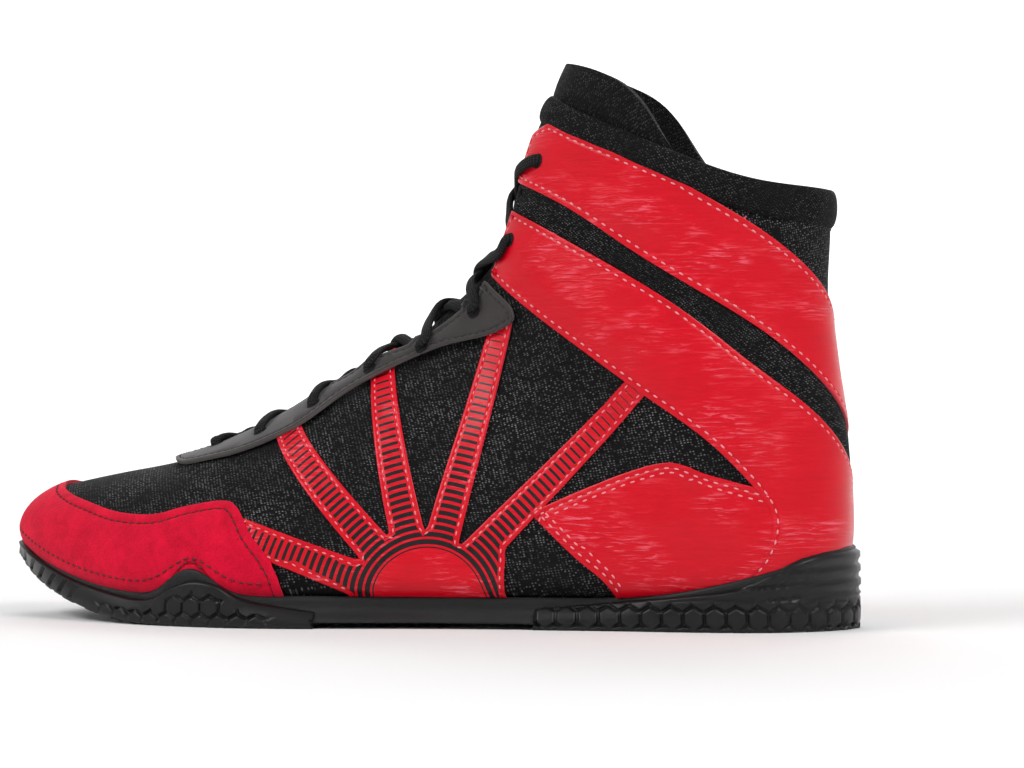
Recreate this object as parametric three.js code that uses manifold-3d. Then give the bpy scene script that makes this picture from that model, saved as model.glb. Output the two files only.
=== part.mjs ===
// A left wrestling shoe, standing empty on its sole. Millimetres, x towards the toe, y towards the
// outer side of the foot, z up. The origin is on the floor under the middle of the shoe.
import * as THREE from "three";
import { mergeVertices } from "three/addons/utils/BufferGeometryUtils.js";
import Module from "manifold-3d";

const wasm = await Module();
wasm.setup();

// Driving sizes
const SHOE_LENGTH = 290;
const BALL_WIDTH = 90;
const ANKLE_WIDTH = 67;
const INSTEP_HEIGHT = 94;
const COLLAR_HEIGHT = 168;
const WALL = 2.2;
const OVERLAY = 1.2;
const GAP = 0.3;
const CUP_WALL = 2.1;
const ROLL_THICKNESS = 5.2;
const TONGUE_THICKNESS = 4;
const INSOLE_THICKNESS = 3.6;
const LASTING_MARGIN = 10;
const LACE_DIAMETER = 4;
const FOXING_HEIGHT = 11;
const TOE_SPRING = 16.6;
const ARCH_RISE = 3;
const SOLE_FLARE = 2.2;
const GROOVE_WIDTH = 1.4;
const GROOVE_DEPTH = 1.6;
const FOREFOOT_PITCH = 10;
const HEEL_PITCH = 9;
const HEEL_RIB_PITCH = 4.2;
const HEEL_RIB_DEPTH = 0.8;
const PAD_WALL = 1.5;
const FOREFOOT_NOTCH_TOP = 6;
const HEEL_NOTCH_TOP = 8;

// How finely the forms are faceted
const AROUND = 18;
const PLAN_STEPS = 18;
const CURVE_STEPS = 2;

// Places along and up the shoe, from shares in hundredths of the named sizes: the first hundred of a
// height reaches the instep, the second the front of the collar.
const along = (share) => (share / 100) * SHOE_LENGTH;
function height(share) {
  if (share <= 100) return (share / 100) * INSTEP_HEIGHT;
  return INSTEP_HEIGHT + (share / 100 - 1) * (COLLAR_HEIGHT - INSTEP_HEIGHT);
}

// The last, a row for each section from above the collar to the toe tip. Each section hangs between a
// top point and a back point, or a sole point further forward; "bulge" is how far from one to the other
// its widest place lies, and the powers make its halves rounder or squarer. Lengths are shares of the
// shoe's length, heights go through height(), and widths are shares of the ankle or the ball.
const COLUMNS = ["topX", "topZ", "backX", "backZ", "half", "middleY", "ridgeY", "bulge", "topPower", "backPower"];
const ANKLE_ROWS = [
  [-16.6, 221.6, -47.9, 189.2, 53.7, 0, 0, 50, 2.1, 2.1],
  [-14.5, 200.0, -46.9, 164.9, 51.5, 0, 0, 50, 2.1, 2.1],
  [-12.9, 185.1, -46.6, 140.5, 50.0, 0, 0, 50, 2.1, 2.1],
  [-11.6, 168.9, -46.4, 116.2, 49.3, 0, 0, 50, 2.1, 2.1],
  [-10.5, 154.1, -47.1, 91.5, 50.0, 0, 0, 50, 2.0, 2.1],
  [-9.3, 140.5, -48.1, 70.2, 52.2, 0, -0.6, 52, 2.0, 2.2],
  [-8.3, 132.4, -48.6, 48.9, 52.2, 0, -1.1, 55, 1.9, 2.3],
  [-7.2, 127.7, -48.6, 29.8, 51.5, 0, -1.7, 60, 1.85, 2.5],
  [-6.2, 123.6, -47.4, 14.4, 50.7, 0, -2.2, 66, 1.8, 3.0],
  [-5.0, 119.6, -43.4, 10.1, 50.0, 0.2, -2.8, 72, 1.8, 3.6],
  [-3.6, 114.9, -37.2, 9.6, 49.3, 0.7, -3.3, 77, 1.8, 4.0],
  [-1.7, 108.1, -29.7, 9.6, 48.5, 1.3, -3.9, 80, 1.8, 4.2],
  [0.7, 100.0, -20.7, 9.6, 48.5, 2.4, -4.4, 82, 1.8, 4.2],
];
const FOOT_ROWS = [
  [3.8, 94.7, -11.0, 9.0, 37.2, 3.6, -5.0, 82, 1.85, 4.2],
  [7.6, 86.0, -1.0, 8.5, 41.1, 3.3, -5.6, 80, 1.9, 4.0],
  [12.4, 76.4, 8.6, 7.4, 46.7, 1.8, -6.1, 78, 1.95, 4.0],
  [17.9, 67.3, 17.2, 7.0, 50.0, 0.0, -6.7, 76, 2.0, 4.0],
  [24.1, 59.6, 24.8, 7.0, 49.4, -2.4, -7.2, 74, 2.1, 3.8],
  [30.3, 54.8, 31.4, 8.0, 45.0, -4.7, -7.8, 72, 2.2, 3.6],
  [35.9, 51.6, 36.9, 10.6, 38.3, -6.7, -8.3, 70, 2.2, 3.4],
  [40.3, 48.9, 41.2, 14.4, 31.1, -8.0, -8.9, 68, 2.2, 3.2],
  [43.8, 46.3, 44.5, 17.9, 23.9, -9.1, -9.4, 66, 2.1, 3.0],
  [46.4, 42.6, 46.9, 21.8, 16.7, -9.8, -10.0, 62, 2.1, 2.6],
  [48.1, 38.3, 48.3, 25.5, 10.6, -10.0, -10.0, 58, 2.0, 2.2],
  [49.5, 31.9, 49.5, 30.3, 1.2, -10.0, -10.0, 50, 2.0, 2.0],
];
function sectionFrom(row, width) {
  const share = Object.fromEntries(COLUMNS.map((name, column) => [name, row[column]]));
  return [
    along(share.topX), height(share.topZ), along(share.backX), height(share.backZ),
    (share.half / 100) * width, (share.middleY / 100) * BALL_WIDTH, (share.ridgeY / 100) * BALL_WIDTH,
    share.bulge / 100, share.topPower, share.backPower,
  ];
}
const SECTIONS = [
  ...ANKLE_ROWS.map((row) => sectionFrom(row, ANKLE_WIDTH)),
  ...FOOT_ROWS.map((row) => sectionFrom(row, BALL_WIDTH)),
];
const TOE = SECTIONS.length - 1;
const COLLAR = 1;

// The section at any row number, smoothly between its neighbours.
function sectionAt(row) {
  const first = Math.min(Math.max(Math.floor(row), 0), TOE - 1);
  const t = row - first;
  const [a, b, c, d] = [-1, 0, 1, 2].map((k) => SECTIONS[Math.min(Math.max(first + k, 0), TOE)]);
  const values = b.map((_, i) => 0.5 * (
    2 * b[i] + (c[i] - a[i]) * t + (2 * a[i] - 5 * b[i] + 4 * c[i] - d[i]) * t * t
    + (3 * b[i] - a[i] - 3 * c[i] + d[i]) * t * t * t));
  return Object.fromEntries(COLUMNS.map((name, column) => [name, values[column]]));
}

// A point of the last: angle 0 is the top or front of a section, a right angle its outer side, and
// half a turn its back or sole.
function lastPoint(row, angle) {
  const s = sectionAt(row);
  const front = Math.cos(angle) > 0;
  const power = front ? s.topPower : s.backPower;
  const up = Math.abs(Math.cos(angle)) ** (2 / power);
  const out = Math.sign(Math.sin(angle)) * Math.abs(Math.sin(angle)) ** (2 / power);
  const share = front ? s.bulge * (1 - up) : s.bulge + (1 - s.bulge) * up;
  const ridge = front ? (s.ridgeY - s.middleY) * up ** 1.5 : 0;
  return new THREE.Vector3(
    s.topX + (s.backX - s.topX) * share,
    s.middleY + ridge + s.half * out,
    s.topZ + (s.backZ - s.topZ) * share,
  );
}

// The same point moved out along the surface's normal; the toe tip moves straight forward.
function skinPoint(row, angle, offset) {
  const point = lastPoint(row, angle);
  if (row >= TOE) return point.add(new THREE.Vector3(offset, 0, 0));
  const step = 0.04;
  const before = Math.max(row - step, 0);
  const alongRow = lastPoint(row + step, angle).sub(lastPoint(before, angle));
  const aroundRow = lastPoint(row, angle + step).sub(lastPoint(row, angle - step));
  return point.addScaledVector(alongRow.cross(aroundRow).normalize(), offset);
}

// Solids
function toSolid(geometry) {
  geometry.deleteAttribute("normal");
  geometry.deleteAttribute("uv");
  const merged = mergeVertices(geometry, 1e-4);
  return new wasm.Manifold(new wasm.Mesh({
    numProp: 3,
    vertProperties: new Float32Array(merged.attributes.position.array),
    triVerts: new Uint32Array(merged.index.array),
  }));
}

// A closed solid through rings of points, each end closed by a fan.
function loft(rings) {
  const size = rings[0].length;
  const points = rings.flat();
  const faces = [];
  for (let ring = 0; ring < rings.length - 1; ring++) {
    for (let k = 0; k < size; k++) {
      const a = ring * size + k;
      const b = ring * size + ((k + 1) % size);
      faces.push(a, b, b + size, a, b + size, a + size);
    }
  }
  for (const [ring, flip] of [[0, true], [rings.length - 1, false]]) {
    const centre = new THREE.Vector3();
    rings[ring].forEach((point) => centre.addScaledVector(point, 1 / size));
    points.push(centre);
    for (let k = 0; k < size; k++) {
      const a = ring * size + k;
      const b = ring * size + ((k + 1) % size);
      faces.push(...(flip ? [b, a] : [a, b]), points.length - 1);
    }
  }
  const geometry = new THREE.BufferGeometry();
  geometry.setAttribute("position", new THREE.Float32BufferAttribute(points.flatMap((p) => p.toArray()), 3));
  geometry.setIndex(faces);
  const solid = toSolid(geometry);
  return solid.volume() > 0 ? solid : toSolid(geometry.clone().setIndex(faces.toReversed()));
}

// The largest body of a cut, without any sliver that the cut left beside it.
function mainBody(solid) {
  return solid.decompose().reduce((a, b) => (b.volume() > a.volume() ? b : a));
}

// The last grown or shrunk, from one row to another.
function lastForm(offset, from = 0, to = TOE) {
  const rows = [from];
  for (let row = Math.floor(from) + 1; row < to; row++) rows.push(row);
  rows.push(to);
  return loft(rows.map((row) => Array.from({ length: AROUND }, (_, k) =>
    skinPoint(row, (2 * Math.PI * k) / AROUND, offset))));
}

// Outlines in the side view: [x share, height share] pairs, with a curve through each run of them.
function outline(...runs) {
  return runs.flatMap((run) => {
    const points = run.map(([x, z]) => new THREE.Vector2(along(x), height(z)));
    return points.length < 3 ? points : new THREE.SplineCurve(points).getPoints(CURVE_STEPS * (points.length - 1));
  });
}
function extrude(points, depth) {
  return new THREE.ExtrudeGeometry(new THREE.Shape(points), { depth, bevelEnabled: false });
}
function sidePrism(points, fromY, toY) {
  return toSolid(extrude(points, toY - fromY).rotateX(Math.PI / 2).translate(0, toY, 0));
}
function planPrism(points, fromZ, toZ) {
  return toSolid(extrude(points, toZ - fromZ).translate(0, 0, fromZ));
}

// An outline moved outwards all round by one distance, or inwards by a negative one.
function grow(points, distance) {
  const turn = THREE.ShapeUtils.area(points) > 0 ? 1 : -1;
  return points.map((point, k) => {
    const before = points[(k + points.length - 1) % points.length];
    const after = points[(k + 1) % points.length];
    const first = point.clone().sub(before).normalize();
    const second = after.clone().sub(point).normalize();
    const normal = new THREE.Vector2(first.y + second.y, -first.x - second.x).multiplyScalar(turn);
    const spread = Math.max(normal.lengthSq(), 1);
    return point.clone().addScaledVector(normal, (2 * distance) / spread);
  });
}
const REACH = BALL_WIDTH;
const outerSide = (points) => sidePrism(points, 0, REACH);
const innerSide = (points) => sidePrism(points, -REACH, 0);
const bothSides = (points) => sidePrism(points, -REACH, REACH);

// Lines that several pieces share, each from front to back in the side view.
const STRAP_TOP = [[-31, 195], [-31.4, 174.3], [-32.1, 164.9], [-35.9, 155.4], [-40.7, 143.2], [-44.5, 129.7],
  [-46.4, 117.6], [-53, 112]];
const STRAP_LOW = [[-6, 176], [-12.8, 166.2], [-19.3, 154.1], [-27.2, 133.8], [-36.2, 112.2], [-40.3, 101.4],
  [-44.1, 91.5], [-46.9, 80.9], [-48.2, 72.8], [-53, 67]];
const WRAP_TOP = [[-4, 166], [-12.8, 152.7], [-22.1, 133.8], [-29.7, 116.2], [-34.5, 102.7], [-37.9, 93.6],
  [-41.7, 84], [-45.9, 73.4], [-48.5, 63.3], [-53, 56]];
const WRAP_LOW = [[-5, 139], [-9, 127], [-10.7, 121.6], [-15.5, 108.1], [-21, 94.7], [-26.9, 81.9], [-33.8, 67],
  [-37.9, 55.3], [-41, 43.6], [-41.7, 35.1], [-40.7, 25.5], [-38.6, 19.1], [-35.2, 12.8], [-32.8, 0]];
const BAND_TOP = [[-53, 119], [-46.4, 117.6], [-45.2, 104], [-41.4, 86.2], [-36.9, 73.4], [-27.6, 48.9],
  [-17.2, 27.7], [-7.6, 10.6], [-4, 0]];
const BAND_LOW = [[-53, 76], [-48.2, 72.8], [-44.5, 56.5], [-40, 39.5], [-36.2, 26], [-32.8, 12.8], [-30.3, 0]];
const HEEL_TOP = [[-53, 68], [-48.5, 63.3], [-47.9, 51.1], [-45.2, 35.1], [-40.3, 18.1], [-37.9, 10.6], [-36.2, 0]];
const EYESTAY_LOW = [[29.2, 55], [26.9, 53.5], [23.1, 55.5], [19.7, 58], [16.2, 61.8], [12.1, 68], [6.2, 80.9],
  [-2.4, 93.6], [-9, 98.9], [-11.4, 102.7], [-12.8, 107.4], [-12.4, 112.2], [-8.3, 125.7]];
const TOE_CAP_EDGE = [[43.3, 46.3], [42.4, 44.7], [40.3, 42.6], [37.2, 40.4], [32.8, 37.6], [27.9, 37.2],
  [23.8, 40.4], [19.7, 42.6], [17.6, 40.4], [15.5, 30.9], [13.4, 23.4], [12.1, 14], [12.1, 0]];

// Outlines of the overlays, closed well outside the shoe where nothing bounds them.
const EYESTAY = outline(EYESTAY_LOW, [[-2, 140], [31, 85]]);
const TOE_CAP = outline(TOE_CAP_EDGE, [[53, 0], [53, 64]], [[43.3, 64]]);
const STRAP_OUTER = outline(STRAP_TOP, STRAP_LOW.toReversed(), [[-6, 215]]);
const STRAP_INNER = outline(BAND_TOP, BAND_LOW.toReversed());
const WRAP_OUTER = outline(WRAP_TOP, [[-53, 0]], WRAP_LOW.toReversed());
const WRAP_INNER = outline(HEEL_TOP, [[-53, 0]]);
const STRIP_OUTER = outline(STRAP_LOW, WRAP_TOP.toReversed());
const STRIP_INNER = outline(BAND_LOW, HEEL_TOP.toReversed());
const COLLAR_PATCH = outline([[-50, 156], [-45.2, 150], [-41.7, 132.4], [-37.6, 121.6], [-33.4, 113.5],
  [-24.1, 101.4], [-15.5, 96], [-5, 90]], [[-3, 215], [-50, 215]]);
const QUARTER = outline([[-24.5, 0], [-24.3, 13.8], [-20, 25.5], [-15.2, 39.4]], [[-15.2, 39.4], [-21, 47.3],
  [-26.9, 54.3], [-31, 56.9], [-35.2, 52.7], [-42.1, 46.8]], [[-45, 0]]);

// The throat, in plan about the ridge of the instep: x share and half width as a share of the ball.
const THROAT_COLUMNS = [[25.3, 5], [22, 9], [15.5, 11.5], [6.9, 13.5], [0, 15], [-6.2, 17.5], [-11, 20],
  [-15.5, 21], [-21, 21]];
const THROAT_FLOOR = 44;
function throatOutline() {
  const sides = THROAT_COLUMNS.map(([x, half]) => ({ x: along(x), half: (half / 100) * BALL_WIDTH }));
  for (const side of sides) side.y = side.x < along(-8) ? 0 : sectionAtRidge(side.x);
  return [
    ...sides.map((side) => new THREE.Vector2(side.x, side.y + side.half)),
    ...sides.toReversed().map((side) => new THREE.Vector2(side.x, side.y - side.half)),
  ];
}
const THROAT = throatOutline();
const overThroat = (points) => planPrism(points, height(THROAT_FLOOR), 2 * COLLAR_HEIGHT);
// The ridge's sideways place where it passes over x.
function sectionAtRidge(x) {
  let row = 0;
  while (row < TOE && sectionAt(row).topX < x) row += 0.25;
  return sectionAt(row).ridgeY;
}

// The line that the sole's side wall follows along the upper, with its rises at heel, ball and toe.
const HEEL_CUP_RISE = 17;
const BALL_PEAK_RISE = 7.5;
const TOE_RISE = 14.5;
function foxingTop(x) {
  const heel = THREE.MathUtils.clamp((along(-20.7) - x) / along(29.3), 0, 1);
  const toe = THREE.MathUtils.clamp((x - along(27.6)) / along(20.7), 0, 1);
  const ball = Math.exp(-(((x - along(22.4)) / along(3.5)) ** 2));
  return FOXING_HEIGHT + HEEL_CUP_RISE * heel ** 2 + BALL_PEAK_RISE * ball + TOE_RISE * toe ** 2;
}
// The underside of the sole, flat under heel and ball and sprung at the toe.
function soleBottom(x) {
  const spring = Math.max((x - along(25.9)) / along(22), 0);
  return TOE_SPRING * spring ** 2;
}
// The underside of the last where it passes over x.
function lastBottom(x) {
  let row = 8;
  while (row < TOE && sectionAt(row).backX < x) row += 0.25;
  return sectionAt(row).backZ;
}
const SIDE_STEPS = 14;
function sideLine(line, from = along(-54), to = along(54)) {
  return Array.from({ length: SIDE_STEPS + 1 }, (_, k) => {
    const x = from + ((to - from) * k) / SIDE_STEPS;
    return new THREE.Vector2(x, line(x));
  });
}
const DEEP = -20;
function below(line, from, to) {
  const points = sideLine(line, from, to);
  return bothSides([...points, new THREE.Vector2(points.at(-1).x, DEEP), new THREE.Vector2(points[0].x, DEEP)]);
}

// The sole in plan: x share, then the outer and the inner edge as shares of the ball width.
const SOLE_PLAN = [
  [-50, 3, -3], [-49, 12, -12], [-46.5, 22.5, -22.5], [-41.4, 33, -32.5], [-34.5, 37, -36.5], [-24.1, 37.5, -35],
  [-13.8, 40, -31.5], [-3.4, 44, -33], [6.9, 51, -42], [15.5, 54.5, -51], [22.4, 52.5, -54.5], [31, 43.5, -52],
  [39.7, 28, -43], [44.8, 14, -31.5], [48.3, 0, -21], [50, -8, -12],
];
function solePlan(inset) {
  const edge = (column) => new THREE.SplineCurve(SOLE_PLAN.map((row) =>
    new THREE.Vector2(along(row[0]), (row[column] / 100) * BALL_WIDTH))).getPoints(PLAN_STEPS);
  const inner = edge(2);
  const rows = edge(1).map((outer, k) => [outer, inner[k]])
    .filter(([outer, other]) => outer.y - other.y > 2 * inset + 1);
  return [
    ...rows.map(([outer]) => new THREE.Vector2(outer.x, outer.y - inset)),
    ...rows.toReversed().map(([, other]) => new THREE.Vector2(other.x, other.y + inset)),
  ];
}

// Pieces

// The knitted upper with its lining: one hollow wall, open at collar and throat and under the foot.
const UPPER_TOP = 1.66;
const throat = overThroat(THROAT);
function makeUpper() {
  const wall = lastForm(0, UPPER_TOP).subtract(lastForm(-WALL, UPPER_TOP - 0.8));
  const opening = planPrism(solePlan(LASTING_MARGIN), DEEP, INSTEP_HEIGHT)
    .intersect(below((x) => lastBottom(x) + WALL + 1));
  return wall.subtract(throat).subtract(opening);
}

// The padded collar: a rounded roll on the upper's top edge, from one side of the throat to the other.
const ROLL_FROM = 0.5;
const ROLL_STEPS = 22;
const ROLL_SIDES = 8;
function makeCollarRoll() {
  const middle = (COLLAR + UPPER_TOP) / 2;
  const reach = (UPPER_TOP - COLLAR) / 2 - 0.02;
  return loft(Array.from({ length: ROLL_STEPS + 1 }, (_, step) => {
    const angle = ROLL_FROM + ((2 * Math.PI - 2 * ROLL_FROM) * step) / ROLL_STEPS;
    return Array.from({ length: ROLL_SIDES }, (_, k) => {
      const turn = (2 * Math.PI * k) / ROLL_SIDES;
      const offset = -WALL + (ROLL_THICKNESS / 2) * (1 + Math.sin(turn));
      return skinPoint(middle - reach * Math.cos(turn), angle, offset);
    });
  }));
}

// The tongue, a padded sheet that follows the inside of the upper from the vamp to above the collar.
const TONGUE_OUTLINE = outline([[21.4, 52.1], [13.8, 56.4], [6.9, 64.9], [0, 74.5], [-6.9, 85.1], [-15.5, 105.4],
  [-22.4, 128.4], [-29.3, 155.4], [-34.1, 177]], [[-34.1, 177], [-32.4, 187.8], [-30.7, 194.6], [-25.5, 206.8],
  [-19.7, 217.6], [-18.6, 218.9], [-16.9, 213.5], [-15.9, 205.4]], [[-8, 205], [31, 80], [21.4, 80]]);
function makeTongue() {
  const outer = WALL + GAP + 0.1;
  const form = (offset, to) => lastForm(offset, 0, to);
  return form(-outer, 18).subtract(form(-outer - TONGUE_THICKNESS, 18.5))
    .intersect(bothSides(TONGUE_OUTLINE));
}

// The insole, a flat sock on the inside of the upper's bottom.
function makeInsole() {
  return lastForm(-WALL - GAP, 7).intersect(below((x) => lastBottom(x) + WALL + GAP + INSOLE_THICKNESS));
}

// Overlays are cut from one thin form laid over the upper, and end above the sole's side wall.
const overlaySheet = lastForm(GAP + OVERLAY, UPPER_TOP).subtract(lastForm(GAP, UPPER_TOP - 0.02))
  .subtract(below((x) => foxingTop(x) + GAP)).subtract(throat);
const SEAM = 0.35;
const seamed = (points) => grow(points, SEAM);
const box = (fromX, toX) => bothSides([[fromX, DEEP], [toX, DEEP], [toX, COLLAR_HEIGHT], [fromX, COLLAR_HEIGHT]]
  .map(([x, z]) => new THREE.Vector2(x, z)));
const EYESTAY_RIM = 8;
function eyestayCut(spare) {
  const rim = overThroat(grow(THROAT, EYESTAY_RIM + spare)).intersect(box(along(-8) - spare, SHOE_LENGTH));
  return bothSides(grow(EYESTAY, spare)).add(rim);
}
const eyestayRoom = eyestayCut(SEAM);
const makeEyestay = () => overlaySheet.intersect(eyestayCut(0));
const makeToeCap = () => overlaySheet.intersect(bothSides(TOE_CAP));

function makeStrap() {
  return overlaySheet.intersect(outerSide(STRAP_OUTER).add(innerSide(STRAP_INNER)));
}
function makeWrap() {
  return overlaySheet.intersect(outerSide(WRAP_OUTER).add(innerSide(WRAP_INNER)))
    .subtract(eyestayRoom);
}
function makeStrip() {
  return overlaySheet.intersect(outerSide(grow(STRIP_OUTER, -SEAM)).add(innerSide(grow(STRIP_INNER, -SEAM))));
}
function makeCollarPatch() {
  return overlaySheet.intersect(innerSide(grow(COLLAR_PATCH, -SEAM))).subtract(eyestayRoom)
    .subtract(sidePrism(seamed(STRAP_OUTER), -1, REACH));
}
function makeQuarter() {
  return overlaySheet.intersect(outerSide(QUARTER)).subtract(bothSides(seamed(WRAP_OUTER)));
}

// Side supports: ribs that spread from a hub on the arch to the eyestay, tapered, over open mesh.
const HUB = [-4.1, 8.5];
const HUB_RADIUS = 23;
const RIB_ROOT = 6;
const RIB_END = 3.6;
const RIB_REACH = 105;
const SUPPORT_ZONE = [[12.1, 0], [13.4, 23.4], [15.5, 30.9], [17.6, 40.4], [12.8, 76], [-11, 108], [-32, 112], [-32, 0]];
const OUTER_RIBS = [20, 46, 73, 102, 134];
const INNER_RIBS = [24, 50, 77];
function fanOutlines(degrees) {
  const hub = new THREE.Vector2(along(HUB[0]), height(HUB[1]));
  const plate = Array.from({ length: 17 }, (_, k) =>
    new THREE.Vector2(HUB_RADIUS, 0).rotateAround(new THREE.Vector2(), (Math.PI * k) / 16).add(hub));
  plate.push(new THREE.Vector2(hub.x - HUB_RADIUS, DEEP), new THREE.Vector2(hub.x + HUB_RADIUS, DEEP));
  const ribs = degrees.map((angle) => [[0, -RIB_ROOT], [RIB_REACH, -RIB_END], [RIB_REACH, RIB_END], [0, RIB_ROOT]]
    .map(([x, z]) => new THREE.Vector2(x, z).rotateAround(new THREE.Vector2(), THREE.MathUtils.degToRad(angle)).add(hub)));
  return [plate, ...ribs];
}
function makeSupport(degrees, side, neighbours) {
  let cut = null;
  for (const points of fanOutlines(degrees)) cut = cut ? cut.add(side(points)) : side(points);
  let piece = overlaySheet.subtract(eyestayRoom).intersect(cut).intersect(side(SUPPORT_ZONE.map(([x, z]) =>
    new THREE.Vector2(along(x), height(z)))));
  for (const neighbour of neighbours) piece = piece.subtract(side(seamed(neighbour)));
  return piece;
}

// The midsole: a shallow cup of rubber round the upper's edge, with a slab under the arch.
const CUP = GAP + CUP_WALL;
const ARCH_FROM = along(-15.5);
const ARCH_TO = along(8.3);
function makeMidsole() {
  const cup = lastForm(CUP, 4).intersect(below(foxingTop));
  const slab = planPrism(solePlan(SOLE_FLARE / 2), ARCH_RISE, FOXING_HEIGHT - 1)
    .intersect(box(ARCH_FROM, ARCH_TO));
  return cup.add(slab).subtract(lastForm(GAP, 3.5));
}

// The outsole's two pads, with grooves across the tread, notches up the sides and ribs behind the heel.
const PAD_TOP_FOREFOOT = [[8, 5.5], [14.8, 8.5], [17.2, 10.6], [19.7, 14.9], [22.4, 16], [25, 13.5], [27.6, 8.5],
  [31, 6.5], [37.9, 9], [43.1, 13], [48.3, 20], [54, 24]];
const PAD_TOP_HEEL = [[-53, 28.5], [-47.2, 26.6], [-43.1, 21.3], [-38.6, 15], [-34.1, 12.8], [-24.1, 9.6], [-15, 7]];
const TOE_END = along(48);
// The cup grown by the pads' own wall, so that they never thin out where they climb it.
const padForm = (wall) => lastForm(CUP + GAP + wall, 4);
function pad(topLine, from, to, pitch, notchTop) {
  const top = topLine.map(([x, z]) => new THREE.Vector2(along(x), height(z)));
  const curve = new THREE.SplineCurve(top).getPoints(2 * (top.length - 1));
  const body = planPrism(solePlan(0), DEEP, INSTEP_HEIGHT).add(padForm(PAD_WALL))
    .intersect(bothSides([...curve, new THREE.Vector2(top.at(-1).x, DEEP), new THREE.Vector2(top[0].x, DEEP)]))
    .intersect(box(from, to))
    .subtract(below(soleBottom))
    .subtract(lastForm(CUP + GAP, 4));
  const core = planPrism(solePlan(GROOVE_DEPTH), DEEP, INSTEP_HEIGHT).add(padForm(PAD_WALL - HEEL_RIB_DEPTH));
  let tread = null;
  let notches = null;
  for (let x = from + pitch; x < to - pitch / 2; x += pitch) {
    const slot = (topZ) => bothSides([[x, DEEP], [x + GROOVE_WIDTH, DEEP], [x + GROOVE_WIDTH, topZ], [x, topZ]]
      .map(([px, pz]) => new THREE.Vector2(px, pz)));
    const shallow = slot(soleBottom(x) + GROOVE_DEPTH);
    const tall = slot(notchTop(x)).subtract(core);
    tread = tread ? tread.add(shallow) : shallow;
    notches = notches ? notches.add(tall) : tall;
  }
  return body.subtract(tread).subtract(notches);
}
const makeForefootPad = () => pad(PAD_TOP_FOREFOOT, ARCH_TO + GAP, TOE_END, FOREFOOT_PITCH,
  (x) => soleBottom(x) + FOREFOOT_NOTCH_TOP);
const HEEL_RIBS = 4;
const HEEL_RIB_FRONT = along(-36);
function makeHeelPad() {
  let piece = pad(PAD_TOP_HEEL, along(-54), ARCH_FROM - GAP, HEEL_PITCH, () => HEEL_NOTCH_TOP);
  const shell = planPrism(solePlan(HEEL_RIB_DEPTH), DEEP, INSTEP_HEIGHT).add(padForm(PAD_WALL - HEEL_RIB_DEPTH));
  for (let rib = 0; rib < HEEL_RIBS; rib++) {
    const z = HEEL_NOTCH_TOP + HEEL_RIB_PITCH * (rib + 1);
    const groove = bothSides([[along(-54), z], [HEEL_RIB_FRONT, z - HEEL_RIB_PITCH],
      [HEEL_RIB_FRONT, z - HEEL_RIB_PITCH + GROOVE_WIDTH], [along(-54), z + GROOVE_WIDTH]]
      .map(([px, pz]) => new THREE.Vector2(px, pz)));
    piece = piece.subtract(groove.subtract(shell));
  }
  return piece;
}

// The lace, crossed through eight pairs of eyelets, with a bar at the toe end. Row of the last, and the
// eyelet's distance from the ridge as a share of the ball.
const EYELETS = [[16.9, 13.5], [16.1, 15.5], [15, 17.5], [13.7, 19], [12.2, 20.5], [9.4, 22], [4.7, 25.5], [2.4, 26]];
const LACE_SIDES = 4;
const LACE_STEPS = 3;
const LACE_LIFT = GAP + OVERLAY + 3 * GAP + LACE_DIAMETER / 2;
function eyeletAngle([row, share]) {
  const s = sectionAt(row);
  return Math.asin(((share / 100) * BALL_WIDTH / s.half) ** (s.topPower / 2));
}
function laceRun(from, to) {
  const route = Array.from({ length: LACE_STEPS + 1 }, (_, k) => {
    const t = k / LACE_STEPS;
    const angle = from.angle + (to.angle - from.angle) * t;
    return skinPoint(from.row + (to.row - from.row) * t, angle, LACE_LIFT);
  });
  const section = new THREE.Shape(Array.from({ length: LACE_SIDES }, (_, k) =>
    new THREE.Vector2(LACE_DIAMETER / 2, 0).rotateAround(new THREE.Vector2(), (2 * Math.PI * k) / LACE_SIDES)));
  return toSolid(new THREE.ExtrudeGeometry(section, {
    steps: LACE_STEPS, bevelEnabled: false, extrudePath: new THREE.CatmullRomCurve3(route),
  }));
}
function makeLaces() {
  const places = EYELETS.map((eyelet) => ({ row: eyelet[0], angle: eyeletAngle(eyelet) }));
  const across = (place, side) => ({ row: place.row, angle: side * place.angle });
  let lace = laceRun(across(places[0], -1), across(places[0], 1));
  for (let pair = 0; pair < places.length - 1; pair++) {
    for (const side of [-1, 1]) {
      lace = lace.add(laceRun(across(places[pair], side), across(places[pair + 1], -side)));
    }
  }
  return lace;
}

// Materials
const material = (color, roughness) => new THREE.MeshStandardMaterial({ color, roughness, metalness: 0 });
const MESH_BLACK = material(0x141416, 0.9);
const STRAP_RED = material(0xd8102c, 0.3);
const SUEDE_RED = material(0xd5213c, 0.95);
const NUBUCK = material(0x262324, 0.85);
const RUBBER = material(0x18181a, 0.6);
const LINING = material(0x1c1c1e, 0.95);
const LACE_BLACK = material(0x101012, 0.8);

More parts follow.
